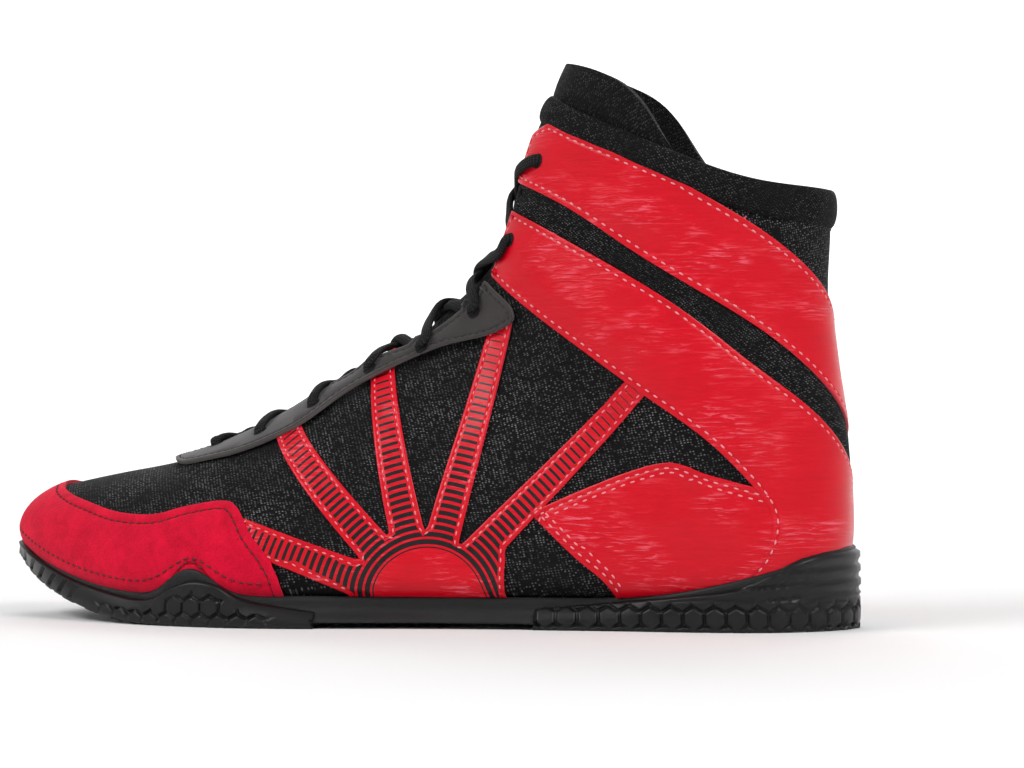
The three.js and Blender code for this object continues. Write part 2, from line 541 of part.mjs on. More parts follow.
const shoe = new THREE.Group();
function addPiece(name, solid, finish) {
  const mesh = mainBody(solid).getMesh();
  const geometry = new THREE.BufferGeometry();
  geometry.setAttribute("position", new THREE.Float32BufferAttribute(mesh.vertProperties, 3));
  geometry.setIndex(Array.from(mesh.triVerts));
  geometry.computeVertexNormals();
  const piece = new THREE.Mesh(geometry, finish);
  piece.name = name;
  shoe.add(piece);
}
addPiece("upper", makeUpper(), MESH_BLACK);
addPiece("tongue", makeTongue(), LINING);
addPiece("insole", makeInsole(), LINING);
addPiece("midsole", makeMidsole(), RUBBER);
addPiece("outsole_forefoot", makeForefootPad(), RUBBER);
addPiece("outsole_heel", makeHeelPad(), RUBBER);
addPiece("collar_roll", makeCollarRoll(), LINING);
addPiece("eyestay", makeEyestay(), NUBUCK);
addPiece("toe_cap", makeToeCap(), SUEDE_RED);
addPiece("ankle_strap", makeStrap(), STRAP_RED);
addPiece("heel_wrap", makeWrap(), STRAP_RED);
addPiece("ankle_strip", makeStrip(), MESH_BLACK);
addPiece("collar_patch_inner", makeCollarPatch(), STRAP_RED);
addPiece("quarter_panel_outer", makeQuarter(), STRAP_RED);
addPiece("side_support_outer", makeSupport(OUTER_RIBS, outerSide, [TOE_CAP, WRAP_OUTER, QUARTER]), STRAP_RED);
addPiece("side_support_inner", makeSupport(INNER_RIBS, innerSide, [TOE_CAP, STRAP_INNER]), STRAP_RED);
addPiece("laces", makeLaces(), LACE_BLACK);

export default shoe;
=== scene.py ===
import math

import bmesh
import bpy
import numpy as np
from mathutils import Matrix, Vector


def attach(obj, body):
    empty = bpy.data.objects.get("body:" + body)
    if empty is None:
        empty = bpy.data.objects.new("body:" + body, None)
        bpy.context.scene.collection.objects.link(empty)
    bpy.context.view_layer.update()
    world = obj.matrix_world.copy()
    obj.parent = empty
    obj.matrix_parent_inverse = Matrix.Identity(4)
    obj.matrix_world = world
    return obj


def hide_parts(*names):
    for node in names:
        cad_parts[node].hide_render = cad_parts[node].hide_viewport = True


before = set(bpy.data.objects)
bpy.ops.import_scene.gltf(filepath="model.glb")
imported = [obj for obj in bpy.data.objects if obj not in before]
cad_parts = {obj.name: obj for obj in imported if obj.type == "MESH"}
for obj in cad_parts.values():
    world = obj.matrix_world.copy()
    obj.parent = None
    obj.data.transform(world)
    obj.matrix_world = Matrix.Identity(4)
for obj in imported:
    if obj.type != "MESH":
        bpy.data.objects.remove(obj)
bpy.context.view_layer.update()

scene = bpy.context.scene

# Camera. It stands a metre away on the outer side, level with the middle of the shoe and thirteen
# degrees behind square, with a long lens.
camera_data = bpy.data.cameras.new("camera")
camera_data.lens = 110.5
camera = bpy.data.objects.new("camera", camera_data)
camera.location = (-0.2630, 1.0071, 0.0781)
camera.rotation_euler = Vector((0.22495, -0.97437, 0)).to_track_quat("-Z", "Y").to_euler()
scene.collection.objects.link(camera)
scene.camera = camera
scene.view_settings.view_transform = "Standard"

# Studio. A seamless pale paper floor sweeps up all round, under a dim white sky, with one large soft box
# over the toe side, one over the heel side, a weaker one above the inner side and one on the backdrop.
FLOOR_RADIUS = 1.7
SWEEP_RADIUS = 0.9
SWEEP_STEPS = 12
WALL_TOP = 2.2


def add_piece(name, shape, materials):
    mesh = bpy.data.meshes.new(name)
    shape.to_mesh(mesh)
    shape.free()
    mesh.shade_smooth()
    for finish in materials:
        mesh.materials.append(finish)
    piece = bpy.data.objects.new(name, mesh)
    scene.collection.objects.link(piece)
    return piece


def add_material(name, colour, roughness, **sockets):
    made = bpy.data.materials.new(name)
    made.use_nodes = True
    shader = made.node_tree.nodes["Principled BSDF"]
    shader.inputs["Base Color"].default_value = (*colour, 1)
    shader.inputs["Roughness"].default_value = roughness
    for socket, value in sockets.items():
        shader.inputs[socket.replace("_", " ")].default_value = value
    return made


paper = add_material("paper", (0.88, 0.88, 0.88), 0.9, Specular_IOR_Level=0.1)
sweep = bmesh.new()
profile = [sweep.verts.new((0, 0, 0)), sweep.verts.new((FLOOR_RADIUS, 0, 0))]
for step in range(1, SWEEP_STEPS + 1):
    turn = math.radians(90) * step / SWEEP_STEPS
    out = FLOOR_RADIUS + SWEEP_RADIUS * math.sin(turn)
    profile.append(sweep.verts.new((out, 0, SWEEP_RADIUS * (1 - math.cos(turn)))))
profile.append(sweep.verts.new((FLOOR_RADIUS + SWEEP_RADIUS, 0, WALL_TOP)))
edges = [sweep.edges.new(pair) for pair in zip(profile, profile[1:])]
bmesh.ops.spin(sweep, geom=profile + edges, cent=(0, 0, 0), axis=(0, 0, 1), angle=math.tau, steps=96)
bmesh.ops.remove_doubles(sweep, verts=sweep.verts[:], dist=0.0005)
bmesh.ops.recalc_face_normals(sweep, faces=sweep.faces[:])
floor = add_piece("studio_floor", sweep, [paper])

sky = bpy.data.worlds.new("studio_sky")
sky.use_nodes = True
sky.node_tree.nodes["Background"].inputs["Color"].default_value = (1, 1, 1, 1)
sky.node_tree.nodes["Background"].inputs["Strength"].default_value = 0.3
scene.world = sky


def soft_box(name, place, target, size, power):
    lamp = bpy.data.lights.new(name, "AREA")
    lamp.shape = "RECTANGLE"
    lamp.size, lamp.size_y = size
    lamp.energy = power
    box = bpy.data.objects.new(name, lamp)
    box.location = place
    box.rotation_euler = (Vector(target) - Vector(place)).to_track_quat("-Z", "Y").to_euler()
    scene.collection.objects.link(box)


soft_box("toe_light", (0.75, 0.75, 1.0), (0.02, 0, 0.06), (0.8, 0.5), 9)
soft_box("heel_light", (-0.95, 0.55, 1.05), (-0.05, 0, 0.08), (0.7, 0.5), 9.5)
soft_box("inner_light", (0.1, -1.0, 0.9), (0, 0, 0.08), (1.0, 0.5), 5)
soft_box("backdrop_light", (0.2, -1.5, 1.5), (0.5, -2.6, 0.4), (1.6, 0.4), 26)

# Upper. A sock of black spacer knit with a smooth lining, shaped on a last and open along the throat;
# every panel lies on this form, so the rows of the last and the way from the side view to it are here.
MM = 0.001
SHOE_LENGTH = 290
BALL_WIDTH = 90
ANKLE_WIDTH = 67
INSTEP_HEIGHT = 94
COLLAR_HEIGHT = 168


def along(share):
    return share / 100 * SHOE_LENGTH


def height(share):
    if share <= 100:
        return share / 100 * INSTEP_HEIGHT
    return INSTEP_HEIGHT + (share / 100 - 1) * (COLLAR_HEIGHT - INSTEP_HEIGHT)


ANKLE_ROWS = [
    (-16.6, 221.6, -47.9, 189.2, 53.7, 0, 0, 50, 2.1, 2.1),
    (-14.5, 200.0, -46.9, 164.9, 51.5, 0, 0, 50, 2.1, 2.1),
    (-12.9, 185.1, -46.6, 140.5, 50.0, 0, 0, 50, 2.1, 2.1),
    (-11.6, 168.9, -46.4, 116.2, 49.3, 0, 0, 50, 2.1, 2.1),
    (-10.5, 154.1, -47.1, 91.5, 50.0, 0, 0, 50, 2.0, 2.1),
    (-9.3, 140.5, -48.1, 70.2, 52.2, 0, -0.6, 52, 2.0, 2.2),
    (-8.3, 132.4, -48.6, 48.9, 52.2, 0, -1.1, 55, 1.9, 2.3),
    (-7.2, 127.7, -48.6, 29.8, 51.5, 0, -1.7, 60, 1.85, 2.5),
    (-6.2, 123.6, -47.4, 14.4, 50.7, 0, -2.2, 66, 1.8, 3.0),
    (-5.0, 119.6, -43.4, 10.1, 50.0, 0.2, -2.8, 72, 1.8, 3.6),
    (-3.6, 114.9, -37.2, 9.6, 49.3, 0.7, -3.3, 77, 1.8, 4.0),
    (-1.7, 108.1, -29.7, 9.6, 48.5, 1.3, -3.9, 80, 1.8, 4.2),
    (0.7, 100.0, -20.7, 9.6, 48.5, 2.4, -4.4, 82, 1.8, 4.2),
]
FOOT_ROWS = [
    (3.8, 94.7, -11.0, 9.0, 37.2, 3.6, -5.0, 82, 1.85, 4.2),
    (7.6, 86.0, -1.0, 8.5, 41.1, 3.3, -5.6, 80, 1.9, 4.0),
    (12.4, 76.4, 8.6, 7.4, 46.7, 1.8, -6.1, 78, 1.95, 4.0),
    (17.9, 67.3, 17.2, 7.0, 50.0, 0.0, -6.7, 76, 2.0, 4.0),
    (24.1, 59.6, 24.8, 7.0, 49.4, -2.4, -7.2, 74, 2.1, 3.8),
    (30.3, 54.8, 31.4, 8.0, 45.0, -4.7, -7.8, 72, 2.2, 3.6),
    (35.9, 51.6, 36.9, 10.6, 38.3, -6.7, -8.3, 70, 2.2, 3.4),
    (40.3, 48.9, 41.2, 14.4, 31.1, -8.0, -8.9, 68, 2.2, 3.2),
    (43.8, 46.3, 44.5, 17.9, 23.9, -9.1, -9.4, 66, 2.1, 3.0),
    (46.4, 42.6, 46.9, 21.8, 16.7, -9.8, -10.0, 62, 2.1, 2.6),
    (48.1, 38.3, 48.3, 25.5, 10.6, -10.0, -10.0, 58, 2.0, 2.2),
    (49.5, 31.9, 49.5, 30.3, 1.2, -10.0, -10.0, 50, 2.0, 2.0),
]
LAST = np.array([
    (along(top_x), height(top_z), along(back_x), height(back_z), half / 100 * width,
     middle / 100 * BALL_WIDTH, ridge / 100 * BALL_WIDTH, bulge / 100, top_power, back_power)
    for rows, width in ((ANKLE_ROWS, ANKLE_WIDTH), (FOOT_ROWS, BALL_WIDTH))
    for top_x, top_z, back_x, back_z, half, middle, ridge, bulge, top_power, back_power in rows
])
TOE = len(LAST) - 1
UPPER_TOP = 1.66


def sections(rows):
    first = np.clip(np.floor(rows).astype(int), 0, TOE - 1)
    t = (rows - first)[:, None]
    a, b, c, d = (LAST[np.clip(first + k, 0, TOE)] for k in (-1, 0, 1, 2))
    return 0.5 * (2 * b + (c - a) * t + (2 * a - 5 * b + 4 * c - d) * t**2
                  + (3 * b - a - 3 * c + d) * t**3)


def last_points(rows, angles):
    top_x, top_z, back_x, back_z, half, middle, ridge, bulge, top_power, back_power = sections(rows).T
    front = np.cos(angles) > 0
    power = np.where(front, top_power, back_power)
    up = np.abs(np.cos(angles)) ** (2 / power)
    out = np.sign(np.sin(angles)) * np.abs(np.sin(angles)) ** (2 / power)
    share = np.where(front, bulge * (1 - up), bulge + (1 - bulge) * up)
    lean = np.where(front, (ridge - middle) * up**1.5, 0)
    return np.stack([top_x + (back_x - top_x) * share, middle + lean + half * out,
                     top_z + (back_z - top_z) * share], axis=1)


# Soft creases where the knit and the straps bend: side, both ends in the side view, half width, rise.
CREASES = [
    (1, -58, 131, -96, 112, 4.5, -0.75), (1, -62, 138, -92, 127, 4.0, 0.55),
    (1, -50, 117, -78, 98, 4.5, -0.6), (1, -104, 96, -128, 76, 5.0, -0.6),
    (1, -110, 108, -130, 98, 4.0, 0.4), (1, -98, 52, -126, 40, 6.0, -0.6),
    (1, -70, 40, -104, 33, 5.0, 0.5), (1, 44, 46, 74, 40, 7.0, -0.7), (1, 58, 52, 92, 43, 6.0, 0.5),
    (-1, 44, 46, 72, 40, 7.0, -0.6), (-1, -60, 120, -100, 108, 5.0, -0.6),
    (-1, -70, 84, -104, 60, 5.0, -0.6), (-1, -46, 70, -82, 46, 5.0, 0.5),
]


def creasing(points):
    rise = np.zeros(len(points))
    for side, x0, z0, x1, z1, width, high in CREASES:
        way = np.array([x1 - x0, z1 - z0])
        offset = points[:, [0, 2]] - np.array([x0, z0])
        share = np.clip(offset @ way / (way @ way), 0, 1)
        away = np.linalg.norm(offset - share[:, None] * way, axis=1)
        taper = np.sin(np.pi * np.clip(share, 0.04, 0.96)) ** 0.7
        near = np.clip(points[:, 1] * side / 12 + 0.2, 0, 1)
        rise += high * np.exp(-(away / width) ** 2) * taper * near
    return rise


def skin(rows, angles, lift):
    rows = np.clip(np.asarray(rows, float), 0, TOE - 0.002)
    angles = np.asarray(angles, float)
    points = last_points(rows, angles)
    ahead = last_points(np.minimum(rows + 0.04, TOE), angles)
    by_row = ahead - last_points(np.maximum(rows - 0.04, 0), angles)
    by_angle = last_points(rows, angles + 0.04) - last_points(rows, angles - 0.04)
    normal = np.cross(by_row, by_angle)
    normal /= np.linalg.norm(normal, axis=1)[:, None] + 1e-9
    return points + normal * (lift + creasing(points))[:, None]


DENSE_ROWS = np.linspace(0, TOE, 1441)
DENSE = sections(DENSE_ROWS)


# The row and angle at which the last passes behind a point of the side view, in millimetres.
def from_side(x, z):
    top, span = DENSE[:, 0:2], DENSE[:, 2:4] - DENSE[:, 0:2]
    away = np.stack([x, z], axis=1)[:, None, :] - top[None]
    cross = away[..., 0] * span[:, 1] - away[..., 1] * span[:, 0]
    share = (away * span).sum(axis=2) / (span * span).sum(axis=1)
    outside = np.maximum(0, -share) + np.maximum(0, share - 1)
    crossing = cross[:, :-1] * cross[:, 1:] <= 0
    pick = np.argmin(np.where(crossing, outside[:, :-1], 1e3 + np.abs(cross[:, :-1])), axis=1)
    every = np.arange(len(x))
    low, high = cross[every, pick], cross[every, pick + 1]
    t = np.clip(low / (low - high + 1e-12), 0, 1)
    row = DENSE_ROWS[pick] + t * (DENSE_ROWS[1] - DENSE_ROWS[0])
    s = share[every, pick] * (1 - t) + share[every, pick + 1] * t
    inside = (s > 0) & (s < 1) & crossing[every, pick]
    s = np.clip(s, 0, 1)
    bulge, top_power, back_power = sections(row)[:, 7:10].T
    front = np.arccos(np.clip(1 - s / bulge, 0, 1) ** (top_power / 2))
    back = np.pi - np.arccos(np.clip((s - bulge) / (1 - bulge), 0, 1) ** (back_power / 2))
    return row, np.where(s < bulge, front, back), inside


# The top edge stands highest beside the tongue and dips along both sides.
def collar_row(angles):
    round_ = np.minimum(angles, math.tau - angles)
    return UPPER_TOP - 0.42 * np.exp(-((round_ / 1.0) ** 2)) + 0.22 * np.exp(-(((round_ - 2.0) / 0.6) ** 2))


THROAT_COLUMNS = [(25.3, 3), (22, 5), (15.5, 6.5), (6.9, 8), (0, 9), (-6.2, 10.5), (-11, 12.5),
                  (-15.5, 14), (-21, 15)]
THROAT_TOE_ROW = 17.2


def throat_angle(row):
    s = sections(np.array([float(row)]))[0]
    x, half = zip(*reversed(THROAT_COLUMNS))
    reach = np.interp(s[0] / SHOE_LENGTH * 100, x, half) / 100 * BALL_WIDTH
    opening = math.asin(min(1, reach / s[4]) ** (s[8] / 2))
    return opening * min(1, max(0, THROAT_TOE_ROW - row) / 0.25) ** 0.5


def add_node(made, kind, inputs=None, **settings):
    node = made.node_tree.nodes.new(kind)
    for key, value in settings.items():
        setattr(node, key, value)
    for key, value in (inputs or {}).items():
        if isinstance(value, bpy.types.NodeSocket):
            made.node_tree.links.new(value, node.inputs[key])
        else:
            node.inputs[key].default_value = value
    return node


def join(made, output, socket):
    made.node_tree.links.new(output, made.node_tree.nodes["Principled BSDF"].inputs[socket])


def maths(made, operation, first, second=0.0, third=0.0):
    return add_node(made, "ShaderNodeMath", {0: first, 1: second, 2: third}, operation=operation).outputs[0]


def tint(made, factor, low, high):
    mix = add_node(made, "ShaderNodeMix", {0: factor, 6: (*low, 1), 7: (*high, 1)}, data_type="RGBA")
    return mix.outputs[2]


def relief(made, surface, depth, strength=1.0):
    inputs = {"Height": surface, "Distance": depth * MM, "Strength": strength}
    join(made, add_node(made, "ShaderNodeBump", inputs).outputs[0], "Normal")


def noise(made, places, scale, detail, **more):
    inputs = {"Vector": places, "Scale": scale, "Detail": detail, **more}
    return add_node(made, "ShaderNodeTexNoise", inputs).outputs["Fac"]


def ramp(made, value, low, high):
    inputs = {"Value": value, "From Min": low, "From Max": high}
    return add_node(made, "ShaderNodeMapRange", inputs).outputs[0]


def object_places(made):
    return add_node(made, "ShaderNodeTexCoord").outputs["Object"]


def cloth_places(made, scale, turn=0.0):
    cloth = add_node(made, "ShaderNodeAttribute", attribute_name="cloth").outputs["Vector"]
    return add_node(made, "ShaderNodeMapping", {"Vector": cloth, "Scale": (*scale, 1),
                                                "Rotation": (0, 0, turn)}).outputs[0]


# Spacer knit: small loops in slanting rows, most of them with a painted highlight, a pale dash painted into
# the base colour where the loop catches a little light.
def knit(name, scale, turn, specks, painted_glint, depth):
    made = add_material(name, (0.006, 0.006, 0.0065), 0.8, Specular_IOR_Level=0.15)
    places = cloth_places(made, scale, turn)
    cells = add_node(made, "ShaderNodeTexVoronoi", {"Vector": places, "Scale": 1.0, "Randomness": 0.35},
                     voronoi_dimensions="2D")
    random_cell = add_node(made, "ShaderNodeSeparateColor", {0: cells.outputs["Color"]})
    lit = maths(made, "GREATER_THAN", random_cell.outputs[0], 1 - specks)
    core = maths(made, "LESS_THAN", cells.outputs["Distance"], 0.27)
    wide = noise(made, cloth_places(made, (0.05, 0.05)), 1.0, 3.0)
    patch = maths(made, "MULTIPLY_ADD", wide, 2.2, -0.55)
    # Painted highlight: loop crests are lifted toward the glint colour, brighter in wide patches.
    bright = maths(made, "MULTIPLY", maths(made, "MULTIPLY", lit, core), patch)
    strength = maths(made, "MULTIPLY", bright, random_cell.outputs[1])
    join(made, tint(made, strength, (0.004, 0.004, 0.0044), painted_glint), "Base Color")
    relief(made, maths(made, "SUBTRACT", 0.6, cells.outputs["Distance"]), depth, 0.9)
    return made


spacer_knit = knit("spacer_knit", (0.95, 1.3), 0.2, 0.7, (0.26, 0.26, 0.27), 0.35)
lining_cloth = knit("lining_cloth", (1.5, 1.5), 0.7, 0.3, (0.03, 0.03, 0.032), 0.15)


def grid_shape(columns, lines, place):
    shape = bmesh.new()
    bmesh.ops.create_grid(shape, x_segments=columns, y_segments=lines, size=0.5)
    shape.verts.ensure_lookup_table()
    at = np.array([v.co[:2] for v in shape.verts]) + 0.5
    for vert, co in zip(shape.verts, place(at[:, 0], at[:, 1])):
        vert.co = co
    return shape


def wrap(shape):
    at = np.array([v.co for v in shape.verts])
    for vert, co in zip(shape.verts, skin(at[:, 0], at[:, 1], at[:, 2]) * MM):
        vert.co = co


def write_cloth(shape, values):
    layer = shape.verts.layers.float_vector.new("cloth")
    for vert, value in zip(shape.verts, values):
        vert[layer] = Vector(value)


def grid_cloth(shape, columns, lines):
    at = np.array([v.co for v in shape.verts]).reshape(lines + 1, columns + 1, 3) / MM
    down = np.zeros((lines + 1, columns + 1))
    down[:, 1:] = np.cumsum(np.linalg.norm(np.diff(at, axis=1), axis=2), axis=1)
    across = np.zeros((lines + 1, columns + 1))
    across[1:] = np.cumsum(np.linalg.norm(np.diff(at, axis=0), axis=2), axis=0)
    across -= across[lines // 2]
    flat = np.stack([down.ravel(), across.ravel(), np.zeros(down.size)], axis=1)
    write_cloth(shape, flat)


# Cloth coordinates of a large form: the side view, unrolled over the toes and round the heel.
def side_cloth(shape):
    at = np.array([v.co for v in shape.verts]) / MM
    over = np.clip((at[:, 0] + 60) / 40, 0, 1)
    behind = np.clip((-80 - at[:, 0]) / 30, 0, 1)
    reach = 0.85 * (np.abs(at[:, 1]) - 34)
    along_cloth = at[:, 0] + reach * behind
    up_cloth = at[:, 2] - reach * over
    write_cloth(shape, np.stack([along_cloth, up_cloth, np.zeros(len(at))], axis=1))


def thicken(piece, thickness, edge_width, segments=2, rim=1, inside=0):
    solid = piece.modifiers.new("thickness", "SOLIDIFY")
    solid.thickness = thickness * MM
    solid.offset = -1
    solid.material_offset_rim = rim
    solid.material_offset = inside
    if edge_width:
        edge = piece.modifiers.new("edge", "BEVEL")
        edge.width = edge_width * MM
        edge.segments = segments
        edge.limit_method = "ANGLE"
        edge.angle_limit = math.radians(50)


UPPER_COLUMNS = 170
UPPER_LINES = 120


def upper_place(down, across):
    rows = UPPER_TOP + down * (TOE - UPPER_TOP)
    opening = np.array([throat_angle(row) for row in rows])
    angles = opening + across * (math.tau - 2 * opening)
    rows += (collar_row(angles) - 0.3 - UPPER_TOP) * np.clip(1 - down * 4, 0, 1)
    return np.stack([rows, angles, np.zeros(len(rows))], axis=1)


upper_shape = grid_shape(UPPER_COLUMNS, UPPER_LINES, upper_place)
wrap(upper_shape)
side_cloth(upper_shape)
bmesh.ops.remove_doubles(upper_shape, verts=upper_shape.verts[:], dist=0.02 * MM)
upper = add_piece("knit_upper", upper_shape, [spacer_knit, lining_cloth])
thicken(upper, 2.0, 0.5, inside=1)
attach(upper, "root")
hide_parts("upper")

# Panels. Each overlay is drawn as an outline in the side view, laid on the last with its edge loops
# and stitch channel, and then cut into small facets so that it bends with the form.


def curve(points, spacing=2.5):
    points = np.array([(along(x), height(z)) for x, z in points])
    if len(points) < 3:
        return points
    ends = np.vstack([2 * points[0] - points[1], points, 2 * points[-1] - points[-2]])
    line = []
    for a, b, c, d in zip(ends, ends[1:], ends[2:], ends[3:]):
        count = max(1, int(np.linalg.norm(c - b) / spacing))
        for t in np.arange(count) / count:
            line.append(0.5 * (2 * b + (c - a) * t + (2 * a - 5 * b + 4 * c - d) * t**2
                               + (3 * b - a - 3 * c + d) * t**3))
    return np.array([*line, points[-1]])


def foxing_top(x):
    heel = np.clip((-60 - x) / 85, 0, 1)
    toe = np.clip((x - 80) / 60, 0, 1)
    return 11 + 17 * heel**2 + 7.5 * np.exp(-(((x - 65) / 10.15) ** 2)) + 14.5 * toe**2


# A line of the side view, laid on one side of the last. Inner sides count back from a full turn where
# the panel passes behind the heel, and below nothing where it passes over the toes.
def on_last(line, side="outer", margin=4.0):
    line = line[line[:, 1] > foxing_top(line[:, 0]) - margin]
    rows, angles, inside = from_side(line[:, 0], line[:, 1])
    kept = inside & (rows > collar_row(angles) - 0.04)
    if side == "inner":
        angles = math.tau - angles
    elif side == "over":
        angles = -angles
    return np.stack([rows, angles], axis=1)[kept]


def past_throat(line):
    opening = np.array([throat_angle(row) for row, _ in line]) + 0.02
    away = np.minimum(np.abs(line[:, 1]), np.abs(math.tau - line[:, 1]))
    return line[away > opening]


def throat_edge(from_row, to_row, side="outer", spare=0.02, count=24):
    rows = np.linspace(from_row, to_row, count)
    angles = np.array([throat_angle(row) + spare for row in rows])
    if side == "inner":
        angles = math.tau - angles
    elif side == "over":
        angles = -angles
    return np.stack([rows, angles], axis=1)


def collar_edge(from_angle, to_angle, count=16):
    angles = np.linspace(from_angle, to_angle, count)
    return np.stack([collar_row(angles) - 0.04, angles], axis=1)


def foxing_edge(from_x, to_x, side="outer", margin=4.0, count=30):
    x = np.linspace(from_x, to_x, count)
    return on_last(np.stack([x, foxing_top(x) - margin + 0.1], axis=1), side, margin)


def even(ring, spacing):
    closed = np.vstack([ring, ring[:1]])
    at = skin(closed[:, 0], closed[:, 1], 0.0)
    gone = np.concatenate([[0], np.cumsum(np.linalg.norm(np.diff(at, axis=0), axis=1))])
    want = np.linspace(0, gone[-1], int(gone[-1] / spacing), endpoint=False)
    return np.stack([np.interp(want, gone, closed[:, k]) for k in (0, 1)], axis=1)


def moved_in(ring, distance):
    before, after = np.roll(ring, 1, axis=0), np.roll(ring, -1, axis=0)
    way = last_points(after[:, 0], after[:, 1]) - last_points(before[:, 0], before[:, 1])
    way /= np.linalg.norm(way, axis=1)[:, None] + 1e-9
    rows = np.clip(ring[:, 0], 0.03, TOE - 0.03)
    by_row = (last_points(rows + 0.02, ring[:, 1]) - last_points(rows - 0.02, ring[:, 1])) / 0.04
    by_angle = (last_points(rows, ring[:, 1] + 0.02) - last_points(rows, ring[:, 1] - 0.02)) / 0.04
    normal = np.cross(by_row, by_angle)
    normal /= np.linalg.norm(normal, axis=1)[:, None] + 1e-9
    step = np.cross(normal, way) * distance
    a, b, c = (by_row**2).sum(1), (by_row * by_angle).sum(1), (by_angle**2).sum(1)
    p, q = (by_row * step).sum(1), (by_angle * step).sum(1)
    det = np.maximum(a * c - b * b, 1e-3)
    move = np.stack([(c * p - b * q) / det, (a * q - b * p) / det], axis=1)
    return ring + np.clip(move, -0.6, 0.6)


STITCHED_EDGE = [(0.45, 0.0, 0.0), (1.3, 0.0, 0.0), (1.8, -0.25, 0.0), (2.3, 0.0, 0.0), (2.8, 0.0, 1.0)]


def stitch(shape, route, lift, closed=False, pitch=3.3, size=(0.95, 0.34, 0.28), keep=None, raised=None):
    lift = np.full(len(route), lift)
    if raised is not None:
        lift += raised(route[:, 0], route[:, 1])
    at = skin(route[:, 0], route[:, 1], lift)
    up = skin(route[:, 0], route[:, 1], lift + 1.0) - at
    if closed:
        at, up = np.vstack([at, at[:1]]), np.vstack([up, up[:1]])
    gone = np.concatenate([[0], np.cumsum(np.linalg.norm(np.diff(at, axis=0), axis=1))])
    for centre in np.arange(pitch / 2, gone[-1] - pitch / 3, pitch):
        p, n, a, b = (Vector([float(np.interp(s, gone, table[:, k])) for k in range(3)])
                      for s, table in ((centre, at), (centre, up), (centre - 0.6, at), (centre + 0.6, at)))
        if keep is not None and not keep(p):
            continue
        way = (b - a).normalized()
        n.normalize()
        side = n.cross(way).normalized()
        turn = Matrix((way, side, n)).transposed().to_4x4()
        scale = Matrix.Diagonal((*size, 1 / MM)) * MM
        bmesh.ops.create_icosphere(shape, subdivisions=1, radius=1,
                                   matrix=Matrix.Translation(p * MM) @ turn @ scale)


def above_sole(p):
    return p.z > float(foxing_top(np.array([p.x]))[0]) + 1.2


def ring_turn(ring):
    after = np.roll(ring, -1, axis=0)
    return np.sum(ring[:, 0] * after[:, 1] - after[:, 0] * ring[:, 1])


def panel_shape(ring, lift, loops, rows_step=0.2, angle_step=0.09, spacing=2.2, raised=None):
    ring = even(ring, spacing)
    if ring_turn(ring) < 0:
        ring = ring[::-1]
    shape = bmesh.new()
    inner = shape.verts.layers.float.new("inside")
    verts = [shape.verts.new((row, angle, lift - 0.12)) for row, angle in ring]
    face = shape.faces.new(verts)
    for distance, rise, inside in loops:
        bmesh.ops.inset_region(shape, faces=[face], thickness=0.001, use_boundary=True)
        for loop, (row, angle) in zip(face.loops, moved_in(ring, distance)):
            loop.vert.co = (row, angle, lift + rise)
            loop.vert[inner] = inside
    low, high = ring.min(axis=0), ring.max(axis=0)
    for axis, step in ((0, rows_step), (1, angle_step)):
        way = Vector((1, 0, 0)) if axis == 0 else Vector((0, 1, 0))
        for value in np.arange(math.floor(low[axis] / step) * step + step / 2, high[axis], step):
            bmesh.ops.bisect_plane(shape, geom=shape.verts[:] + shape.edges[:] + shape.faces[:],
                                   plane_co=way * float(value), plane_no=way, dist=1e-5)
    bmesh.ops.triangulate(shape, faces=[f for f in shape.faces if len(f.verts) > 4])
    at = np.array([v.co for v in shape.verts])
    side = last_points(np.clip(at[:, 0], 0, TOE - 0.002), at[:, 1])
    behind = at[:, 1] > math.pi
    write_cloth(shape, np.stack([np.where(behind, -280 - side[:, 0], side[:, 0]), side[:, 2],
                                 np.zeros(len(at))], axis=1))
    if raised is not None:
        for vert, more in zip(shape.verts, raised(at[:, 0], at[:, 1])):
            vert.co.z += more
    wrap(shape)
    bmesh.ops.remove_doubles(shape, verts=shape.verts[:], dist=0.01 * MM)
    return shape


def add_panel(name, ring, lift, loops, thickness, materials, slot, nodes, **facets):
    piece = add_piece(name, panel_shape(ring, lift, loops, **facets), materials)
    thicken(piece, thickness, 0.22)
    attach(piece, "root")
    if nodes:
        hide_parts(*nodes)
    return piece


def add_thread(name, rings, lift, thread, slot, keep=above_sole, **how):
    shape = bmesh.new()
    for ring, distance in rings:
        route = even(ring, 1.5)
        if ring_turn(route) < 0:
            route = route[::-1]
        stitch(shape, moved_in(route, distance), lift, closed=True, keep=keep, **how)
    piece = add_piece(name, shape, [thread])
    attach(piece, "root")
    return piece
